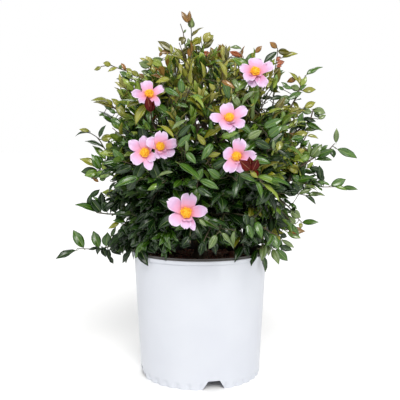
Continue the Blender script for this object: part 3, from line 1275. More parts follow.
# Leaves are smaller and slimmer toward the top, and they droop at the skirt and stand up at the top.
LEAF_HEIGHTS = [0, 0.5, 1]
LEAF_SIZES = [1.15, 1.0, 0.76]
LEAF_WIDTHS = [1.08, 1.0, 0.84]
DROOP_HEIGHTS = [0, 0.35, 0.7, 1]
DROOPS = [-0.55, -0.25, 0.05, 0.35]
# Back along a shoot from its tip, they splay further, in degrees, and are fuller and older.
SPLAY_PLACES = [0, 0.015, 0.05]
SPLAYS = [22, 46, 64]
YOUNG_PLACES = [0, 0.012, 0.03]
YOUNG_SIZES = [0.62, 0.86, 1.0]
YOUNG_REACH = 0.025
# Shoots more level than this carry their leaves in two rows.
LEVEL_SHOOT = 0.35


def leaf_out(skeleton, shoots, leaves):
    """Leaves along each shoot from its tip back: in two rows where it lies level, else in a spiral."""
    for nodes, kind in shoots:
        path = skeleton.points[nodes]
        path = np.concatenate([skeleton.points[skeleton.parents[nodes[0]]][None], path])
        lengths = path_lengths(path)
        total = lengths[-1]
        young = tint_of(path[-1], kind)
        height = height_share(path[-1])
        size = LEAF_LENGTH * RANDOM.uniform(0.84, 1.16) * np.interp(height, LEAF_HEIGHTS, LEAF_SIZES)
        slim = np.interp(height, LEAF_HEIGHTS, LEAF_WIDTHS)
        droop = np.interp(height, DROOP_HEIGHTS, DROOPS)
        turn = RANDOM.uniform(0, 2 * math.pi)
        reach = SHOOT_LENGTH * RANDOM.uniform(0.85, 1.25)
        back = 0.0
        index = 0
        while back < min(total, reach):
            spot = total - back
            spots = np.array([spot, max(0, spot - 0.006), min(total, spot + 0.003)])
            place, before, after = spots_along(path, lengths, spots)
            way = unit(after - before)
            side = unit(np.cross(way, UP + RANDOM.normal(0, 0.05, 3)))
            is_level = 1 - abs(way[2]) > LEVEL_SHOOT
            about = (index % 2) * math.pi + RANDOM.normal(0, 0.55) if is_level else turn
            side = turned_about(side, way, np.array(about))
            splay = math.radians(np.interp(back, SPLAY_PLACES, SPLAYS) + RANDOM.normal(0, 9))
            heading = unit(way * math.cos(splay) + side * math.sin(splay) + UP * droop)
            facing = way * math.sin(splay) - side * math.cos(splay)
            light = UP * 0.8 + outward_at(place) * 0.6 + RANDOM.normal(0, 0.32, 3)
            normal = facing * 0.4 + light * 0.7
            length = size * np.interp(back, YOUNG_PLACES, YOUNG_SIZES) * RANDOM.uniform(0.85, 1.12)
            tint = OLDER[young] if back > YOUNG_REACH else young
            width = slim * RANDOM.uniform(0.85, 1.15)
            leaves.add(tint, place + heading * 0.004, heading, normal, length, width)
            turn += SPIRAL + RANDOM.normal(0, 0.2)
            back += LEAF_STEP * RANDOM.uniform(0.7, 1.3) * (0.55 if index < 2 else 1.0)
            index += 1


# ---------------------------------------------------------------- sprays placed by the picture


# A spray's twig: its radius from its start to its tip, and its step.
SPRAY_TWIG_RADII = (0.0012, 0.0007)
SPRAY_STEP = 0.005
# A front spray hangs this far before the crown's skin, a wine-red one further out. Its twig starts
# this deep behind that.
FRONT_CLEARANCE = 0.010
WINE_CLEARANCE = 0.020
FRONT_TWIG_START = 0.040
# A front leaf that is further than this from its spray's twig gets a twig of its own.
SIDE_TWIG = 0.009
# Any other leaf that is further than this from it gets a stalk.
LEAF_STALK = 0.0025
# How far behind the lip's front a spray over the rim lies, at these rows of the picture's pixels.
RIM_PIXELS = [236, 250, 262]
RIM_SHIFTS = [0.022, 0.006, -0.005]


def rim_depth(x, y):
    """How deep something lies that comes over the pot's rim at this pixel and hangs outside it."""
    lip_radius = pot_sizes()[0]
    across = np.clip(at_pixel(x, y, -lip_radius)[0], -lip_radius * 0.98, lip_radius * 0.98)
    front = -math.sqrt(lip_radius**2 - across**2)
    return front + float(np.interp(y, RIM_PIXELS, RIM_SHIFTS))


def pixel_mapper(source, tint, twig, crown):
    """A function from a pixel of the spray, and a shift in depth, to its place in space."""
    if source == "rim":
        return lambda x, y, shift=0.0: at_pixel(x, y, rim_depth(x, y))
    if source == "front":
        clearance = WINE_CLEARANCE if tint == "wine" else FRONT_CLEARANCE
        depth = min(crown.front_depth(*pixel) for pixel in twig) - clearance
    else:
        depth = crown.middles[source][1]
    return lambda x, y, shift=0.0: at_pixel(x, y, depth + shift)


def spray_leaf(leaves, tint, base, tip, width, length_of_pixel):
    """A leaf between two places that shows this width in pixels to the camera."""
    along = tip - base
    length = np.linalg.norm(along)
    shown = abs(width) * length_of_pixel
    full = LEAF_WIDTH_SHARE * length * 0.92
    wide = np.clip(shown / full, 0.85, 1.6)
    cosine = min(1.0, shown / (full * wide))
    toward = unit(EYE - base)
    toward = unit(toward - unit(along) * toward.dot(unit(along)))
    upper = np.cross(unit(along), toward)
    upper = upper * (1 if upper[2] > 0 else -1)
    normal = toward * cosine * (1 if width > 0 else -1) + upper * math.sqrt(1 - cosine**2)
    leaves.add(tint, base, along, normal, length, wide)


def grow_sprays(skeleton, crown, leaves):
    """The sprays that the picture shows one by one, with more leaves in front and behind."""
    shown = []
    for name, (source, tint, twig, spray) in OUTLINE_SPRAYS.items():
        place_of = pixel_mapper(source, tint, twig, crown)
        shifts = RANDOM.normal(0, 0.004, len(twig)).cumsum()
        if source == "front":
            shifts = np.linspace(FRONT_TWIG_START, 0.0, len(twig))
        corners = np.array([place_of(x, y, shift) for (x, y), shift in zip(twig, shifts)])
        start = skeleton.best_start(corners[0], BRANCH)
        first = skeleton.grow(start, corners[0], unit(corners[1] - corners[0]), BRANCH)
        lengths = path_lengths(corners)
        wanted = np.linspace(0, lengths[-1], max(3, int(lengths[-1] / SPRAY_STEP)))[1:]
        fine = spots_along(corners, lengths, wanted)
        nodes = skeleton.follow(fine, first[-1], BRANCH)
        skeleton.least[first] = SPRAY_TWIG_RADII[0]
        skeleton.least[nodes] = np.linspace(*SPRAY_TWIG_RADII, len(nodes))
        pixel_size = 1.0 / PICTURE_FOCUS * np.linalg.norm(corners[-1] - EYE)
        for base_x, base_y, tip_x, tip_y, width, *own_tint in spray:
            base = place_of(base_x, base_y)
            near = np.linalg.norm((fine - base)[:, [0, 2]], axis=1).argmin()
            shift = fine[near][1] - base[1] if source != "front" else 0.0
            base = place_of(base_x, base_y, shift)
            reach = np.linalg.norm(place_of(tip_x, tip_y, shift) - base)
            lean = RANDOM.uniform(-0.40, 0.30) if source != "front" else RANDOM.uniform(-0.5, 0.0)
            tip = place_of(tip_x, tip_y, shift + lean * reach)
            gap = np.linalg.norm(base - fine[near])
            if source == "front" and gap > SIDE_TWIG:
                skeleton.grow(skeleton.best_start(base, BRANCH), base, unit(tip - base), SHOOT)
            elif gap > LEAF_STALK:
                skeleton.grow(nodes[near], base, unit(tip - base), SHOOT, 0.0)
            leaf_tint = own_tint[0] if own_tint else tint
            shown.append((leaf_tint, base, tip, width, pixel_size, source == "front"))
        if name != "top_bare":
            deep_leaves(leaves, fine, tint, source not in ("rim", "front"))
    clear_before([leaf for leaf in shown if leaf[-1]], leaves)
    for leaf_tint, base, tip, width, pixel_size, _ in shown:
        spray_leaf(leaves, leaf_tint, base, tip, width, pixel_size)


def clear_before(shown, leaves):
    """Drops the leaves that stand between the camera and these."""
    bases, tips, widths = (np.array([leaf[item] for leaf in shown]) for item in (1, 2, 3))
    near = np.minimum(bases[:, 1], tips[:, 1])
    first, last = (np.stack(pixels_of(points), -1) for points in (bases, tips))
    reach = last - first

    def is_before(points):
        places = np.stack(pixels_of(points), -1)[:, None]
        share = np.clip(((places - first) * reach).sum(-1) / (reach**2).sum(-1), 0, 1)
        apart = np.linalg.norm(places - first - share[..., None] * reach, axis=-1)
        covers = (apart < np.abs(widths) / 2 + 1.0) & (share > 0.25) & (points[:, None, 1] < near + 0.012)
        return covers.any(axis=1)

    leaves.clear(is_before)


def deep_leaves(leaves, path, tint, free):
    """Leaves that point at the camera or away from it, so that a spray is round from the side."""
    count = max(2, int(len(path) * 0.26)) if free else 1
    for index in range(count):
        place = path[int(RANDOM.uniform(0.0, 0.55) * (len(path) - 1))]
        away = 1 if index % 2 == 0 else -1
        heading = unit(np.array([0, away * 1.0, 0]) + RANDOM.normal(0, 0.22, 3) + outward_at(place) * 0.25)
        normal = UP * 0.9 + RANDOM.normal(0, 0.3, 3)
        shorter = np.interp(height_share(place), [0, 1], [0.95, 0.62])
        length = LEAF_LENGTH * shorter * RANDOM.uniform(0.8, 1.1)
        leaves.add(OLDER[tint] if index % 3 else tint, place, heading, normal, length, 0.9)


# ---------------------------------------------------------------- flowers

PETAL_ROWS = 13
PETAL_ACROSS = (-1.0, -0.87, -0.6, -0.3, 0.0, 0.3, 0.6, 0.87, 1.0)
PETAL_COLUMNS = len(PETAL_ACROSS)
PETAL_SHADES = 9
# A petal's two layers are this far apart, and its rim's this far, in shares of its length.
PETAL_THICKNESS = 0.016
RIM_THICKNESS = 0.008
CUP_LEAVES = 6
FLOWER_TWIG_RADIUS = 0.0011
# How far a flower's stamens stand out of the crown's skin and of its own centre, how far its petals'
# tips do, and how much it must face the camera for leaves on the way there to be dropped.
BLOOM_CLEARANCE = 0.004
BLOOM_DEPTH = 0.008
PETAL_TIP_RISE = 0.006
FACING_CAMERA = 0.6
# A boss of stamens: its radius at the foot and at the heads, its height in the middle and what the
# outer ones lack of it, and the thickness of a filament and an anther. It's the usual size in a
# flower of the radius that comes last.
STAMENS = 66
BOSS_FOOT = 0.0042
BOSS_HEAD = 0.0068
BOSS_HEIGHT = 0.0108
BOSS_DOME = 0.0042
FILAMENT_RADIUS = 0.00040
ANTHER_RADIUS = 0.00095
BOSS_RADIUS = 0.030
# A petal's colour from its foot to its tip.
PETAL_STOPS = (0.0, 0.16, 0.34, 0.62, 0.86, 1.0)
PETAL_COLOURS = np.array(
    [
        linear(238, 152, 132),
        linear(238, 162, 178),
        linear(225, 161, 196),
        linear(214, 175, 212),
        linear(219, 195, 224),
        linear(238, 226, 241),
    ]
)


def petal_sheet(width, low_turn, high_turn, cup, ruffle, phase, notch=0.08, roll=0.0):
    """A petal of length 1 along y, hollow to +z: points of its closed double sheet, faces and slots."""
    along = np.linspace(0, 1, PETAL_ROWS)[:, None] ** 0.85
    across = np.array(PETAL_ACROSS)[None, :]
    ease = np.clip(along / 0.66, 0, 1)
    half = width / 2 * (0.74 + 0.26 * ease**2 * (3 - 2 * ease))
    half = half * np.sqrt(1 - np.clip((along - 0.56) / 0.49, 0, 1) ** 2.2)
    half = half * (1 + 0.05 * np.sin(along * 8 + phase))
    reach = along * (1 - 0.10 * np.abs(across) ** 2 * along**3)
    reach = reach - notch * np.exp(-((across / 0.26) ** 2)) * along**8
    reach = reach - 0.045 * np.abs(np.sin(across * 3.9 + phase)) * along**7
    fine = np.linspace(0, 1.05, 60)
    turns = np.radians(np.interp(fine, [0, 1], [low_turn, high_turn]))
    out = np.concatenate([[0], np.cumsum(np.cos(turns[:-1]) * np.diff(fine))])
    rise = np.concatenate([[0], np.cumsum(np.sin(turns[:-1]) * np.diff(fine))])
    side = across * half * np.ones_like(reach)
    height = np.interp(reach, fine, rise) + cup * across**2 * half
    height = height + ruffle * np.sin(across * 4.6 + along * 5.0 + phase) * along**2 * (0.6 + across**2)
    side, height = side * math.cos(roll) - height * math.sin(roll), side * math.sin(roll) + height
    upper = np.stack([side, np.interp(reach, fine, out), height], -1)
    under = upper - UP * PETAL_THICKNESS
    under[:, [0, -1]] = upper[:, [0, -1]] - UP * RIM_THICKNESS
    points = np.concatenate([upper.reshape(-1, 3), under.reshape(-1, 3)])
    quads = grid_faces(PETAL_ROWS, PETAL_COLUMNS)
    count = PETAL_ROWS * PETAL_COLUMNS
    index = np.arange(count).reshape(PETAL_ROWS, PETAL_COLUMNS)
    border = np.concatenate([index[0], index[1:, -1], index[-1, -2::-1], index[-2:0:-1, 0]])
    ahead = np.roll(border, -1)
    edge = np.stack([border, border + count, ahead + count, ahead], -1)
    faces = np.concatenate([quads, quads[:, ::-1] + count, edge])
    rows, columns = np.divmod(faces.min(axis=1) % count, PETAL_COLUMNS)
    at_edge = (columns == 0) | (columns >= PETAL_COLUMNS - 2)
    shades = rows * PETAL_SHADES // (PETAL_ROWS - 1) + 3 * (at_edge & (rows > 4))
    slots = np.clip(shades, 0, PETAL_SHADES - 1)
    return points, faces, slots


def stood_on(points, centre, axes, size):
    """Points of a flower's own space, whose z is its facing, put in place."""
    return centre + (points * size) @ axes.T


def spun(points, angle):
    """Points turned about z, from the y axis to this angle from the x axis."""
    turn = angle - math.pi / 2
    cosine, sine = math.cos(turn), math.sin(turn)
    return points @ np.array([[cosine, sine, 0], [-sine, cosine, 0], [0, 0, 1]])


def flower_axes(facing):
    """The flower's own axes, as columns: to its side, up, and the way it faces."""
    side = unit(np.cross(UP, facing))
    return np.stack([side, np.cross(facing, side), facing], axis=-1)


def seen_petal(petal, centre, facing, pixel_size):
    """A petal's direction, length and width in the flower's plane, from the pixel of its tip."""
    tip_x, tip_y, width, notch = petal
    way = picture_ray(tip_x, tip_y)
    plane = centre + facing * PETAL_TIP_RISE
    tip = EYE + way * (plane - EYE).dot(facing) / way.dot(facing)
    across, above, _ = (tip - centre) @ flower_axes(facing)
    return math.atan2(above, across), math.hypot(above, across), width * pixel_size, notch


def free_petals(radius):
    """The petals of a flower that the picture doesn't show."""
    count = int(RANDOM.integers(6, 8))
    first = RANDOM.uniform(0, 1)
    petals = []
    for index in range(count):
        angle = first + 2 * math.pi * index / count + RANDOM.normal(0, 0.13)
        length = radius * RANDOM.uniform(0.86, 1.08)
        petals.append((angle, length, radius * RANDOM.uniform(0.56, 0.78), RANDOM.uniform(0.03, 0.18)))
    return petals


class Flowers:
    """Open blossoms: petals in bands of colour, stamens, and the green cup behind."""

    def __init__(self):
        self.petals = Gathered()
        self.stamens = Gathered()
        self.cups = Gathered()

    def add(self, centre, facing, radius, petals, petaloid_count):
        """Each petal is its direction in the flower's plane, its length and width, and its notch."""
        axes = flower_axes(facing)

        def stand(gathered, points, angle, faces, slots):
            gathered.add(stood_on(spun(points, angle), centre, axes, radius), [(faces, slots)])

        for index, (angle, length, width, notch) in enumerate(petals):
            points, faces, slots = petal_sheet(
                width * 0.96 / length,
                RANDOM.uniform(30, 42),
                RANDOM.uniform(-14, 12),
                RANDOM.uniform(0.05, 0.38),
                RANDOM.uniform(0.03, 0.075),
                RANDOM.uniform(0, 6),
                notch,
                RANDOM.normal(0, 0.12),
            )
            points = points * length / radius * 1.06 + [0, 0.04, -0.025 * (index % 3)]
            stand(self.petals, points, angle, faces, slots)
        for index in range(petaloid_count):
            points, faces, slots = petal_sheet(0.6, 82, 30, 0.5, 0.08, RANDOM.uniform(0, 6))
            points = points * RANDOM.uniform(0.36, 0.46) + [0, 0.20, 0]
            slots = np.clip(slots // 2 + 1, 0, PETAL_SHADES - 1)
            stand(self.petals, points, RANDOM.uniform(-2.4, -0.7), faces, slots)
        for index in range(CUP_LEAVES):
            points, faces, slots = petal_sheet(0.9, 10, 75, 0.6, 0.0, 0.0, notch=-0.08)
            angle = 2 * math.pi * index / CUP_LEAVES + RANDOM.normal(0, 0.1)
            stand(self.cups, points * 0.30 + [0, 0.02, -0.13], angle, faces, 0)
        self.add_stamens(centre, axes, float(np.clip(radius / BOSS_RADIUS, 0.8, 1.15)))

    def add_stamens(self, centre, axes, size):
        """A boss of filaments that lean out from a dome, each with its anther."""
        shares = (np.arange(STAMENS) + 0.5) / STAMENS
        spins = np.arange(STAMENS) * SPIRAL
        around = np.stack([np.cos(spins), np.sin(spins), np.zeros(STAMENS)], -1)
        inward = np.sqrt(shares)[:, None]
        feet = around * inward * BOSS_FOOT + UP * 0.0005
        tall = BOSS_HEIGHT - BOSS_DOME * shares + RANDOM.normal(0, 0.0004, STAMENS)
        heads = around * inward * BOSS_HEAD * RANDOM.uniform(0.9, 1.1, (STAMENS, 1)) + UP * tall[:, None]
        for foot, head in zip(feet, heads):
            line = np.stack([foot, (foot + head) / 2 + UP * 0.0006, head])
            points, groups = tube(line, [FILAMENT_RADIUS] * 3, 3)
            self.stamens.add(stood_on(points, centre, axes, size), groups)
        anther = tube(np.outer([-0.8, -0.35, 0.35, 0.8], UP), [0.45, 1.0, 1.0, 0.45], 6, 1)
        ways = unit(heads - feet + UP * 0.004)
        frames = np.einsum("ij,njk->nik", axes, frames_of(ways, around + 0.01)[:, :, [0, 2, 1]])
        spread = RANDOM.uniform([0.8, 0.8, 1.0], [1.1, 1.1, 1.5], (STAMENS, 3))
        sizes = np.full((STAMENS, 1), ANTHER_RADIUS * size) * spread
        self.stamens.add_copies(anther, frames, stood_on(heads, centre, axes, size), sizes)
        levels = np.linspace(0.001, 0.0088, 6)
        points, groups = tube(np.outer(levels, UP), 0.0060 * np.cos(levels / 0.0105 * 1.2), 14)
        self.stamens.add(stood_on(points, centre, axes, size), groups)

    def build(self):
        petal_looks = []
        for index in range(PETAL_SHADES):
            share = (index + 0.5) / PETAL_SHADES
            colour = [np.interp(share, PETAL_STOPS, PETAL_COLOURS[:, band]) for band in range(3)]
            second = [0.93 * value for value in colour]
            petal_looks.append(surface(f"petal_{index}", colour, 0.5, second, 120.0, 0.15, 700.0))
        stamen_looks = [
            surface("filament", linear(255, 196, 84), 0.5, linear(252, 178, 70), 300.0, 0.1),
            surface("anther", linear(255, 212, 62), 0.7, linear(255, 178, 24), 400.0, 0.2),
        ]
        cup_look = surface("flower_cup", linear(96, 116, 48), 0.5, linear(72, 92, 36), 150.0, 0.2)
        return (
            self.petals.build("petals", petal_looks),
            self.stamens.build("stamens", stamen_looks),
            self.cups.build("flower_cups", [cup_look]),
        )


def ring_of_leaves(leaves, centre, facing, radius, tint):
    """Leaves that stand behind a flower and show past its petals."""
    side, other, _ = flower_axes(facing).T
    first = RANDOM.uniform(0, 2 * math.pi)
    for index in range(6):
        angle = first + SPIRAL * index
        radial = side * math.cos(angle) + other * math.sin(angle)
        heading = radial * 0.9 + facing * RANDOM.uniform(-0.35, 0.1) - UP * 0.15
        place = centre - facing * 0.012 + radial * 0.006
        length = radius * RANDOM.uniform(1.15, 1.5) * np.interp(height_share(centre), [0, 1], [1.1, 0.85])
        leaves.add(tint if index % 3 else OLDER[tint], place, heading, facing * 0.8 + UP * 0.5, length)


def seen_blooms(crown):
    """The flowers that the picture shows: centre, facing, radius, petals and number of petaloids."""
    blooms = []
    for middle, upper_petals, lower_petals in FRONT_FLOWERS.values():
        x, y, yaw, pitch, petaloids = middle
        seen = at_pixel(x, y, crown.front_depth(x, y) - BLOOM_CLEARANCE)
        yaw, pitch = math.radians(yaw), math.radians(pitch)
        level = math.cos(pitch)
        facing = np.array([math.sin(yaw) * level, -math.cos(yaw) * level, math.sin(pitch)])
        centre = seen - facing * BLOOM_DEPTH
        pixel_size = np.linalg.norm(centre - EYE) / PICTURE_FOCUS
        petals = [seen_petal(petal, centre, facing, pixel_size) for petal in upper_petals + lower_petals]
        blooms.append((centre, facing, max(petal[1] for petal in petals), petals, petaloids))
    return blooms


def hidden_blooms(crown):
    """The flowers on the sides and back, likewise."""
    blooms = []
    for azimuth, height, radius in HIDDEN_FLOWERS.values():
        way = direction(azimuth)
        axis_point = np.array([CROWN_MIDDLE[0], CROWN_MIDDLE[1], height])
        hit = crown.tree.ray_cast(Vector(axis_point + way * 0.4), Vector(-way), 0.4)[0]
        centre = np.array(hit) if hit is not None else axis_point + way * 0.12
        facing = unit(way + UP * RANDOM.uniform(0.1, 0.4) + RANDOM.normal(0, 0.12, 3))
        petals = free_petals(radius)
        blooms.append((centre - facing * 0.006, facing, radius, petals, len(petals) % 2 + 1))
    return blooms


def cylinder_test(centre, way, near, far, radius):
    """A function that tells which points lie in a cylinder before the centre."""

    def is_inside(points):
        apart = points - centre
        ahead = apart @ way
        aside = np.linalg.norm(apart - ahead[:, None] * way, axis=1)
        return (ahead > near) & (ahead < far) & (aside < radius)

    return is_inside


def add_flowers(skeleton, crown, leaves, flowers):
    """Every flower on its own twig, with no leaf before it and a ring of leaves behind it."""
    blooms = seen_blooms(crown) + hidden_blooms(crown)
    for centre, facing, radius, petals, petaloids in blooms:
        flowers.add(centre, facing, radius, petals, petaloids)
        foot = centre - facing * 0.30 * radius
        start = skeleton.best_start(foot - facing * 0.03, BRANCH)
        nodes = skeleton.grow(start, foot, facing, BRANCH)
        skeleton.least[nodes] = FLOWER_TWIG_RADIUS
        leaves.clear(cylinder_test(centre, facing, -0.003, 0.07, radius * 1.02))
        view = unit(EYE - centre)
        if view.dot(facing) > FACING_CAMERA:
            leaves.clear(cylinder_test(centre, view, 0.004, 0.14, radius * 0.92))
    for centre, facing, radius, *_ in blooms:
        ring_of_leaves(leaves, centre, facing, radius, tint_of(centre, "outer"))


# ---------------------------------------------------------------- pot

POT_COLUMNS = 384
POT_WALL = 0.0022
FOOT_RADIUS = 0.1002
# The wall's top stands in from the lip's edge by this. The lip is a flattened half round.
LIP_OVERHANG = 0.0020
LIP_FLATNESS = 0.55
# The lip's outer edge: how far in and how far below the pot's top its points are.
LIP_EDGE = ((0.0, 0.0045), (0.0006, 0.0058))
LIP_UNDERSIDE = 0.0063
# The thin collar that stands inside the lip: how far out of its foot and how far up its points are.
COLLAR = (
    (0.0001, 0.0033),
    (0.0005, 0.0036),
    (0.0010, 0.0032),
    (0.0012, 0.00198),
    (0.0008, 0.00162),
    (0.0012, 0.00126),
)
# The raised base, seen from below and from inside, and its round corner.
BASE_UNDERSIDE = 0.0160
BASE_TOP = 0.0182
BASE_CORNER = 0.004
# The foot's standing ring, its bevel, and the grooves that scallop it.
RING_WIDTH = 0.0040
RING_BEVEL = 0.0010
GROOVES = 32
GROOVE_HEIGHT = 0.0120
GROOVE_DEPTH = 0.0036
GROOVE_PHASE = 0.14
# Notches across the foot: where they are round the pot, then at their bottom and top the width and
# the level. The bar that cuts a pair of them is this long.
NOTCH_AZIMUTHS = (-77.6, 12.4)
NOTCH_WIDTHS = (0.0500, 0.0185)
NOTCH_LEVELS = (-0.0100, 0.0152)
NOTCH_BAR = 0.25
# Drain holes in the base.
DRAIN_AZIMUTHS = (-32.6, 57.4, 147.4, 237.4)
DRAIN_PLACE = (0.07, 0.0171)
DRAIN_RADIUS = 0.006
DRAIN_DEPTH = 0.012


def pot_sizes():
    """The radius of the pot's lip and the pot's height, from its solid."""
    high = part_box("pot")[1]
    return high.x, high.z


def pot_profile(lip_radius, height):
    """The pot's section from the base's middle, inside, over the lip and down: radius, level, slot."""
    top = lip_radius - LIP_OVERHANG

    def wall(level):
        return FOOT_RADIUS + (top - FOOT_RADIUS) * level / height

    base_edge = wall(BASE_TOP) - POT_WALL
    inside = [(0.0, BASE_TOP), (base_edge - BASE_CORNER, BASE_TOP), (base_edge, BASE_TOP + BASE_CORNER)]
    inside += [(wall(level) - POT_WALL, level) for level in np.linspace(0.03, height - POT_WALL, 6)]
    middle = (lip_radius + wall(height) - POT_WALL) / 2
    half = (lip_radius - wall(height) + POT_WALL) / 2
    inner = middle - half
    inside += [(inner, height)]
    inside += [(inner + outward, height + upward) for outward, upward in COLLAR]
    profile = [(radius, level, 1) for radius, level in inside]
    for angle in np.linspace(120, 0, 8):
        turn = math.radians(angle)
        crest = height - half * LIP_FLATNESS + math.sin(turn) * half * LIP_FLATNESS
        profile.append((middle + math.cos(turn) * half, crest, int(angle > 100)))
    outside = [(lip_radius - inward, height - downward) for inward, downward in LIP_EDGE]
    outside += [(wall(height - LIP_UNDERSIDE) + 0.0001, height - LIP_UNDERSIDE)]
    plain = np.linspace(height - 0.012, GROOVE_HEIGHT * 1.6, 8)
    grooved = np.linspace(GROOVE_HEIGHT * 1.3, 0.0012, 9)
    outside += [(wall(level), level) for level in (*plain, *grooved)]
    outside += [(FOOT_RADIUS - RING_BEVEL, 0.0), (FOOT_RADIUS - RING_WIDTH, 0.0)]
    outside += [(wall(BASE_UNDERSIDE) - RING_WIDTH, BASE_UNDERSIDE), (0.0, BASE_UNDERSIDE)]
    return np.array(profile + [(radius, level, 0) for radius, level in outside])


def make_pot():
    """The pot's own mesh: rolled lip, thin wall, scalloped foot with notches, raised base."""
    radii, levels, slots = pot_profile(*pot_sizes()).T
    outside = (slots == 0) & (radii > FOOT_RADIUS - RING_WIDTH / 2)
    angles = np.arange(POT_COLUMNS) * 2 * math.pi / POT_COLUMNS
    scallop = np.abs(np.sin(angles * GROOVES / 2 - GROOVE_PHASE)) ** 0.7
    depth = np.clip((GROOVE_HEIGHT - levels) / (GROOVE_HEIGHT * 0.6), 0, 1) * outside
    widths = radii[:, None] - GROOVE_DEPTH * depth[:, None] * (1 - scallop[None])
    rings = [np.cos(angles) * widths, np.sin(angles) * widths, levels[:, None] * np.ones_like(widths)]
    rings = np.stack(rings, axis=-1)[1:-1]
    quads = grid_faces(len(rings), POT_COLUMNS, closed=True)[:, ::-1]
    row_slots = np.repeat(np.maximum(slots[1:-2], slots[2:-1]), POT_COLUMNS)
    gathered = Gathered()
    gathered.add(
        np.concatenate([rings.reshape(-1, 3), [[0, 0, BASE_TOP], [0, 0, BASE_UNDERSIDE]]]),
        [(quads, row_slots), (end_fans(len(rings), POT_COLUMNS), np.repeat([1, 0], POT_COLUMNS))],
    )
    white = surface("pot_white", linear(203, 206, 213), 0.36, linear(198, 201, 209), 9.0, 0.05, 260.0)
    black = surface("pot_inside", linear(84, 80, 78), 0.42, linear(70, 68, 66), 20.0, 0.1)
    pot = gathered.build("nursery_pot", [white, black])
    for azimuth in NOTCH_AZIMUTHS:
        cut(pot, notch_bar(), azimuth=azimuth)
    for azimuth in DRAIN_AZIMUTHS:
        cut(pot, drain_hole(), place=(*(DRAIN_PLACE[0] * direction(azimuth)[:2]), DRAIN_PLACE[1]))
    apply_cuts(pot)
    pot.data.shade_smooth()
    pot.data.set_sharp_from_angle(angle=math.radians(38))
    return pot


def notch_bar():
    """A bar across the whole foot, narrower at its top, that cuts a notch at each end."""
    shape = bmesh.new()
    bmesh.ops.create_cube(shape, size=1.0)
    for vert in shape.verts:
        above = vert.co.z > 0
        vert.co.x *= NOTCH_BAR
        vert.co.y *= NOTCH_WIDTHS[above]
        vert.co.z = NOTCH_LEVELS[above]
    return shape


def drain_hole():
    """A round plug through the base."""
    shape = bmesh.new()
    sizes = {"radius1": DRAIN_RADIUS, "radius2": DRAIN_RADIUS, "depth": DRAIN_DEPTH}
    bmesh.ops.create_cone(shape, cap_ends=True, segments=32, **sizes)
    return shape


def cut(piece, shape, place=(0.0, 0.0, 0.0), azimuth=0.0):
    """Has this shape cut out of the piece, at this place and turned this far round."""
    mesh = bpy.data.meshes.new("cutter")
    shape.to_mesh(mesh)
    shape.free()
    cutter = linked("cutter", mesh)
    cutter.location = place
    cutter.rotation_euler.z = math.radians(azimuth)
    modifier = piece.modifiers.new("cut", "BOOLEAN")
    modifier.operation = "DIFFERENCE"
    modifier.solver = "EXACT"
    modifier.object = cutter


def apply_cuts(piece):
    """Makes the cut mesh the piece's own, and removes what cut it."""
    bpy.context.view_layer.update()
    evaluated = piece.evaluated_get(bpy.context.evaluated_depsgraph_get())
    mesh = bpy.data.meshes.new_from_object(evaluated)
    cutters = {modifier.object for modifier in piece.modifiers}
    piece.modifiers.clear()
    piece.data = mesh
    for cutter in cutters:
        bpy.data.objects.remove(cutter, do_unlink=True)


# ---------------------------------------------------------------- potting mix


# Where the noise that dents a chip is read for each axis.
CHIP_DENT_SHIFTS = (Vector((3.1, 0, 0)), Vector((0, 7.3, 0)), Vector((0, 0, 5.7)))


def chip_template():
    """A flat, broken chip of bark about 1 long: points and faces."""
    shape = bmesh.new()
    bmesh.ops.create_cube(shape, size=1.0)
    bmesh.ops.subdivide_edges(shape, edges=shape.edges[:], cuts=1, use_grid_fill=True)
    for vert in shape.verts:
        place = vert.co.copy()
        vert.co.x *= 1.0 - 0.25 * abs(place.y)
        vert.co += Vector([noise.noise(place * 2.3 + shift) for shift in CHIP_DENT_SHIFTS]) * 0.22
        vert.co.z *= 0.34
    bmesh.ops.recalc_face_normals(shape, faces=shape.faces)
    points = np.array([vert.co for vert in shape.verts])
    faces = np.array([[vert.index for vert in face.verts] for face in shape.faces if len(face.verts) == 4])
    shape.free()
    return points, faces


# The dome of potting mix inside its solid: clear of the pot's wall, and narrower at the bottom.
MIX_ROWS = 26
MIX_COLUMNS = 96
MIX_CLEARANCE = 0.0004
MIX_NARROWER = 0.0110
# How far below the solid's top its middle lies, how much lower its edge is, and its lumps: how
# high they are and how many there are to a metre.
MIX_BELOW = 0.0022
MIX_DOME = 0.0036
MIX_LUMPS = ((0.0018, 90), (0.0009, 260))
# Chips of bark on it: their number, lengths, how far from the wall they stay and how high they lie.
CHIP_COUNT = 760
CHIP_LENGTHS = (0.004, 0.0125)
CHIP_CLEARANCE = 0.006
CHIP_LIFTS = (0.0002, 0.0026)


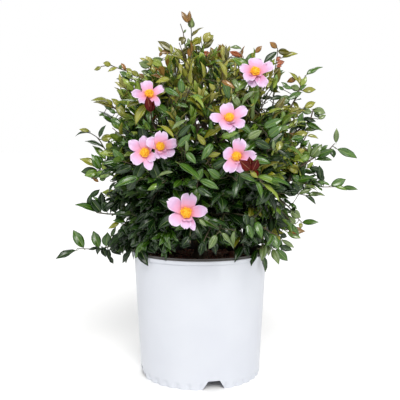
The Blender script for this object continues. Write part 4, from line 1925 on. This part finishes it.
def make_mulch():
    """The potting mix: a lumpy dome closed below, with chips of bark lying on it."""
    low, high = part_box("potting_mix")
    radius = high.x - MIX_CLEARANCE
    bottom_radius = radius - MIX_NARROWER
    angles = np.arange(MIX_COLUMNS) * 2 * math.pi / MIX_COLUMNS
    points = []
    for share in np.linspace(0.02, 1, MIX_ROWS):
        for angle in angles:
            place = Vector((math.cos(angle) * radius * share, math.sin(angle) * radius * share, 0))
            lump = sum(tall * noise.noise(place * dense) for tall, dense in MIX_LUMPS)
            level = high.z - MIX_BELOW - MIX_DOME * share**2 + lump * (1 if share < 0.97 else 0)
            points.append((place.x, place.y, level))
    for angle in angles:
        points.append((math.cos(angle) * bottom_radius, math.sin(angle) * bottom_radius, low.z))
    points += [(0, 0, high.z - MIX_BELOW), (0, 0, low.z)]
    rows = MIX_ROWS + 1
    gathered = Gathered()
    gathered.add(points, [(grid_faces(rows, MIX_COLUMNS, closed=True), 0), (end_fans(rows, MIX_COLUMNS), 0)])
    dark = surface("mix_dark", linear(150, 108, 90), 0.95, linear(104, 76, 62), 160.0, 0.9, 500.0)
    mix = gathered.build("potting_mix_body", [dark])
    chips = Gathered()
    points, faces = chip_template()
    reach = np.sqrt(RANDOM.random(CHIP_COUNT)) * (radius - CHIP_CLEARANCE)
    angle = RANDOM.uniform(0, 2 * math.pi, CHIP_COUNT)
    level = high.z - MIX_BELOW - MIX_DOME * (reach / radius) ** 2 + RANDOM.uniform(*CHIP_LIFTS, CHIP_COUNT)
    places = np.stack([np.cos(angle) * reach, np.sin(angle) * reach, level], -1)
    ways = RANDOM.normal(0, 1, (CHIP_COUNT, 3)) * [1, 1, 0.25]
    normals = UP + RANDOM.normal(0, 0.35, (CHIP_COUNT, 3))
    lengths = RANDOM.uniform(*CHIP_LENGTHS, CHIP_COUNT)
    sizes = lengths[:, None] * RANDOM.uniform([0.45, 0.8, 0.4], [0.8, 1.2, 0.8], (CHIP_COUNT, 3))
    frames = frames_of(ways, normals)
    slots = RANDOM.integers(0, 3, CHIP_COUNT)
    for slot in range(3):
        chosen = slots == slot
        chips.add_copies((points, [(faces, slot)]), frames[chosen], places[chosen], sizes[chosen])
    chip_materials = [
        surface("chip_red", linear(184, 118, 100), 0.9, linear(140, 88, 74), 200.0, 0.7),
        surface("chip_brown", linear(140, 98, 82), 0.9, linear(100, 70, 60), 200.0, 0.7),
        surface("chip_pale", linear(206, 164, 140), 0.9, linear(164, 122, 100), 200.0, 0.7),
    ]
    return mix, chips.build("bark_chips", chip_materials, smooth=False)


# ---------------------------------------------------------------- stage


# Each lamp's direction round from +X and up in degrees, strength, apparent size in degrees, colour.
SUNS = {
    "key": (-82, 39, 2.25, 28, (1.0, 0.985, 0.955)),
    "left": (-150, 28, 0.92, 50, (0.98, 0.99, 1.0)),
    "right": (-22, 27, 0.96, 48, (0.98, 0.99, 1.0)),
    "back": (95, 48, 0.95, 40, (1.0, 0.99, 0.97)),
}
# What the sky lights with. The camera sees it white.
SKY_LIGHT = (0.97, 0.98, 1.0, 1.0)
SKY_STRENGTH = 0.29
FLOOR_HALF_SIDE = 60.0


def make_suns():
    """Broad lamps, as in a photographer's tent."""
    for name, (azimuth, elevation, strength, spread, colour) in SUNS.items():
        data = bpy.data.lights.new(name, "SUN")
        data.energy = strength
        data.angle = math.radians(spread)
        data.color = colour
        way = Vector(direction(azimuth, elevation))
        light = linked(name, data)
        light.location = way * 3
        light.rotation_euler = way.to_track_quat("Z", "Y").to_euler()


def make_floor():
    """A wide white floor."""
    mesh = bpy.data.meshes.new("floor")
    corners = [(x * FLOOR_HALF_SIDE, y * FLOOR_HALF_SIDE, 0) for x, y in ((-1, -1), (1, -1), (1, 1), (-1, 1))]
    mesh.from_pydata(corners, [], [(0, 1, 2, 3)])
    mesh.materials.append(surface("floor_white", (0.97, 0.97, 0.97), 0.8))
    linked("floor", mesh)


def make_sky():
    """A dim, even light from all sides that the camera sees as white."""
    world = bpy.data.worlds.new("studio")
    bpy.context.scene.world = world
    world.use_nodes = True
    tree = world.node_tree
    tree.nodes.clear()
    output = node(tree, "ShaderNodeOutputWorld")
    seen = node(tree, "ShaderNodeBackground", Color=(1, 1, 1, 1), Strength=1.0)
    lighting = node(tree, "ShaderNodeBackground", Color=SKY_LIGHT, Strength=SKY_STRENGTH)
    path = node(tree, "ShaderNodeLightPath")
    chosen = node(tree, "ShaderNodeMixShader")
    for shown, entry in ((path.outputs["Is Camera Ray"], 0), (lighting.outputs[0], 1), (seen.outputs[0], 2)):
        tree.links.new(shown, chosen.inputs[entry])
    tree.links.new(chosen.outputs[0], output.inputs["Surface"])


def make_stage():
    make_floor()
    make_sky()
    make_suns()
    bpy.context.scene.view_settings.view_transform = "Standard"
    bpy.context.scene.view_settings.look = "None"


def make_camera():
    data = bpy.data.cameras.new("camera")
    data.sensor_width = SENSOR
    data.sensor_fit = "HORIZONTAL"
    data.lens = CAMERA_LENS
    camera = linked("camera", data)
    camera.location = CAMERA_PLACE
    camera.rotation_euler = (math.radians(90 - CAMERA_PITCH), 0, 0)
    bpy.context.scene.camera = camera


# ---------------------------------------------------------------- all together


def main():
    """Grows and builds every piece, and says what each replaces, wears and rides on."""
    crown = Crown()
    skeleton, shoots = grow_plant(crown)
    leaves = Leaves()
    leaf_out(skeleton, shoots, leaves)
    open_sky_gaps(leaves)
    flowers = Flowers()
    add_flowers(skeleton, crown, leaves, flowers)
    open_sky_gaps(leaves)
    grow_sprays(skeleton, crown, leaves)
    limbs, twigs = make_wood(skeleton)
    leaf_pieces = leaves.build()
    petals, stamens, cups = flowers.build()
    pot = make_pot()
    mix, chips = make_mulch()
    wood_nodes = [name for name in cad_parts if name.startswith("bough_") or name == "main_stem"]
    foliage_nodes = list(crown.masses)
    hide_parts(*wood_nodes)
    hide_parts("pot")
    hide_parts("potting_mix")
    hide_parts(*foliage_nodes)
    for piece in (limbs, twigs, pot, mix, chips, petals, stamens, cups, *leaf_pieces):
        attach(piece, BODY)


make_camera()
make_stage()
main()
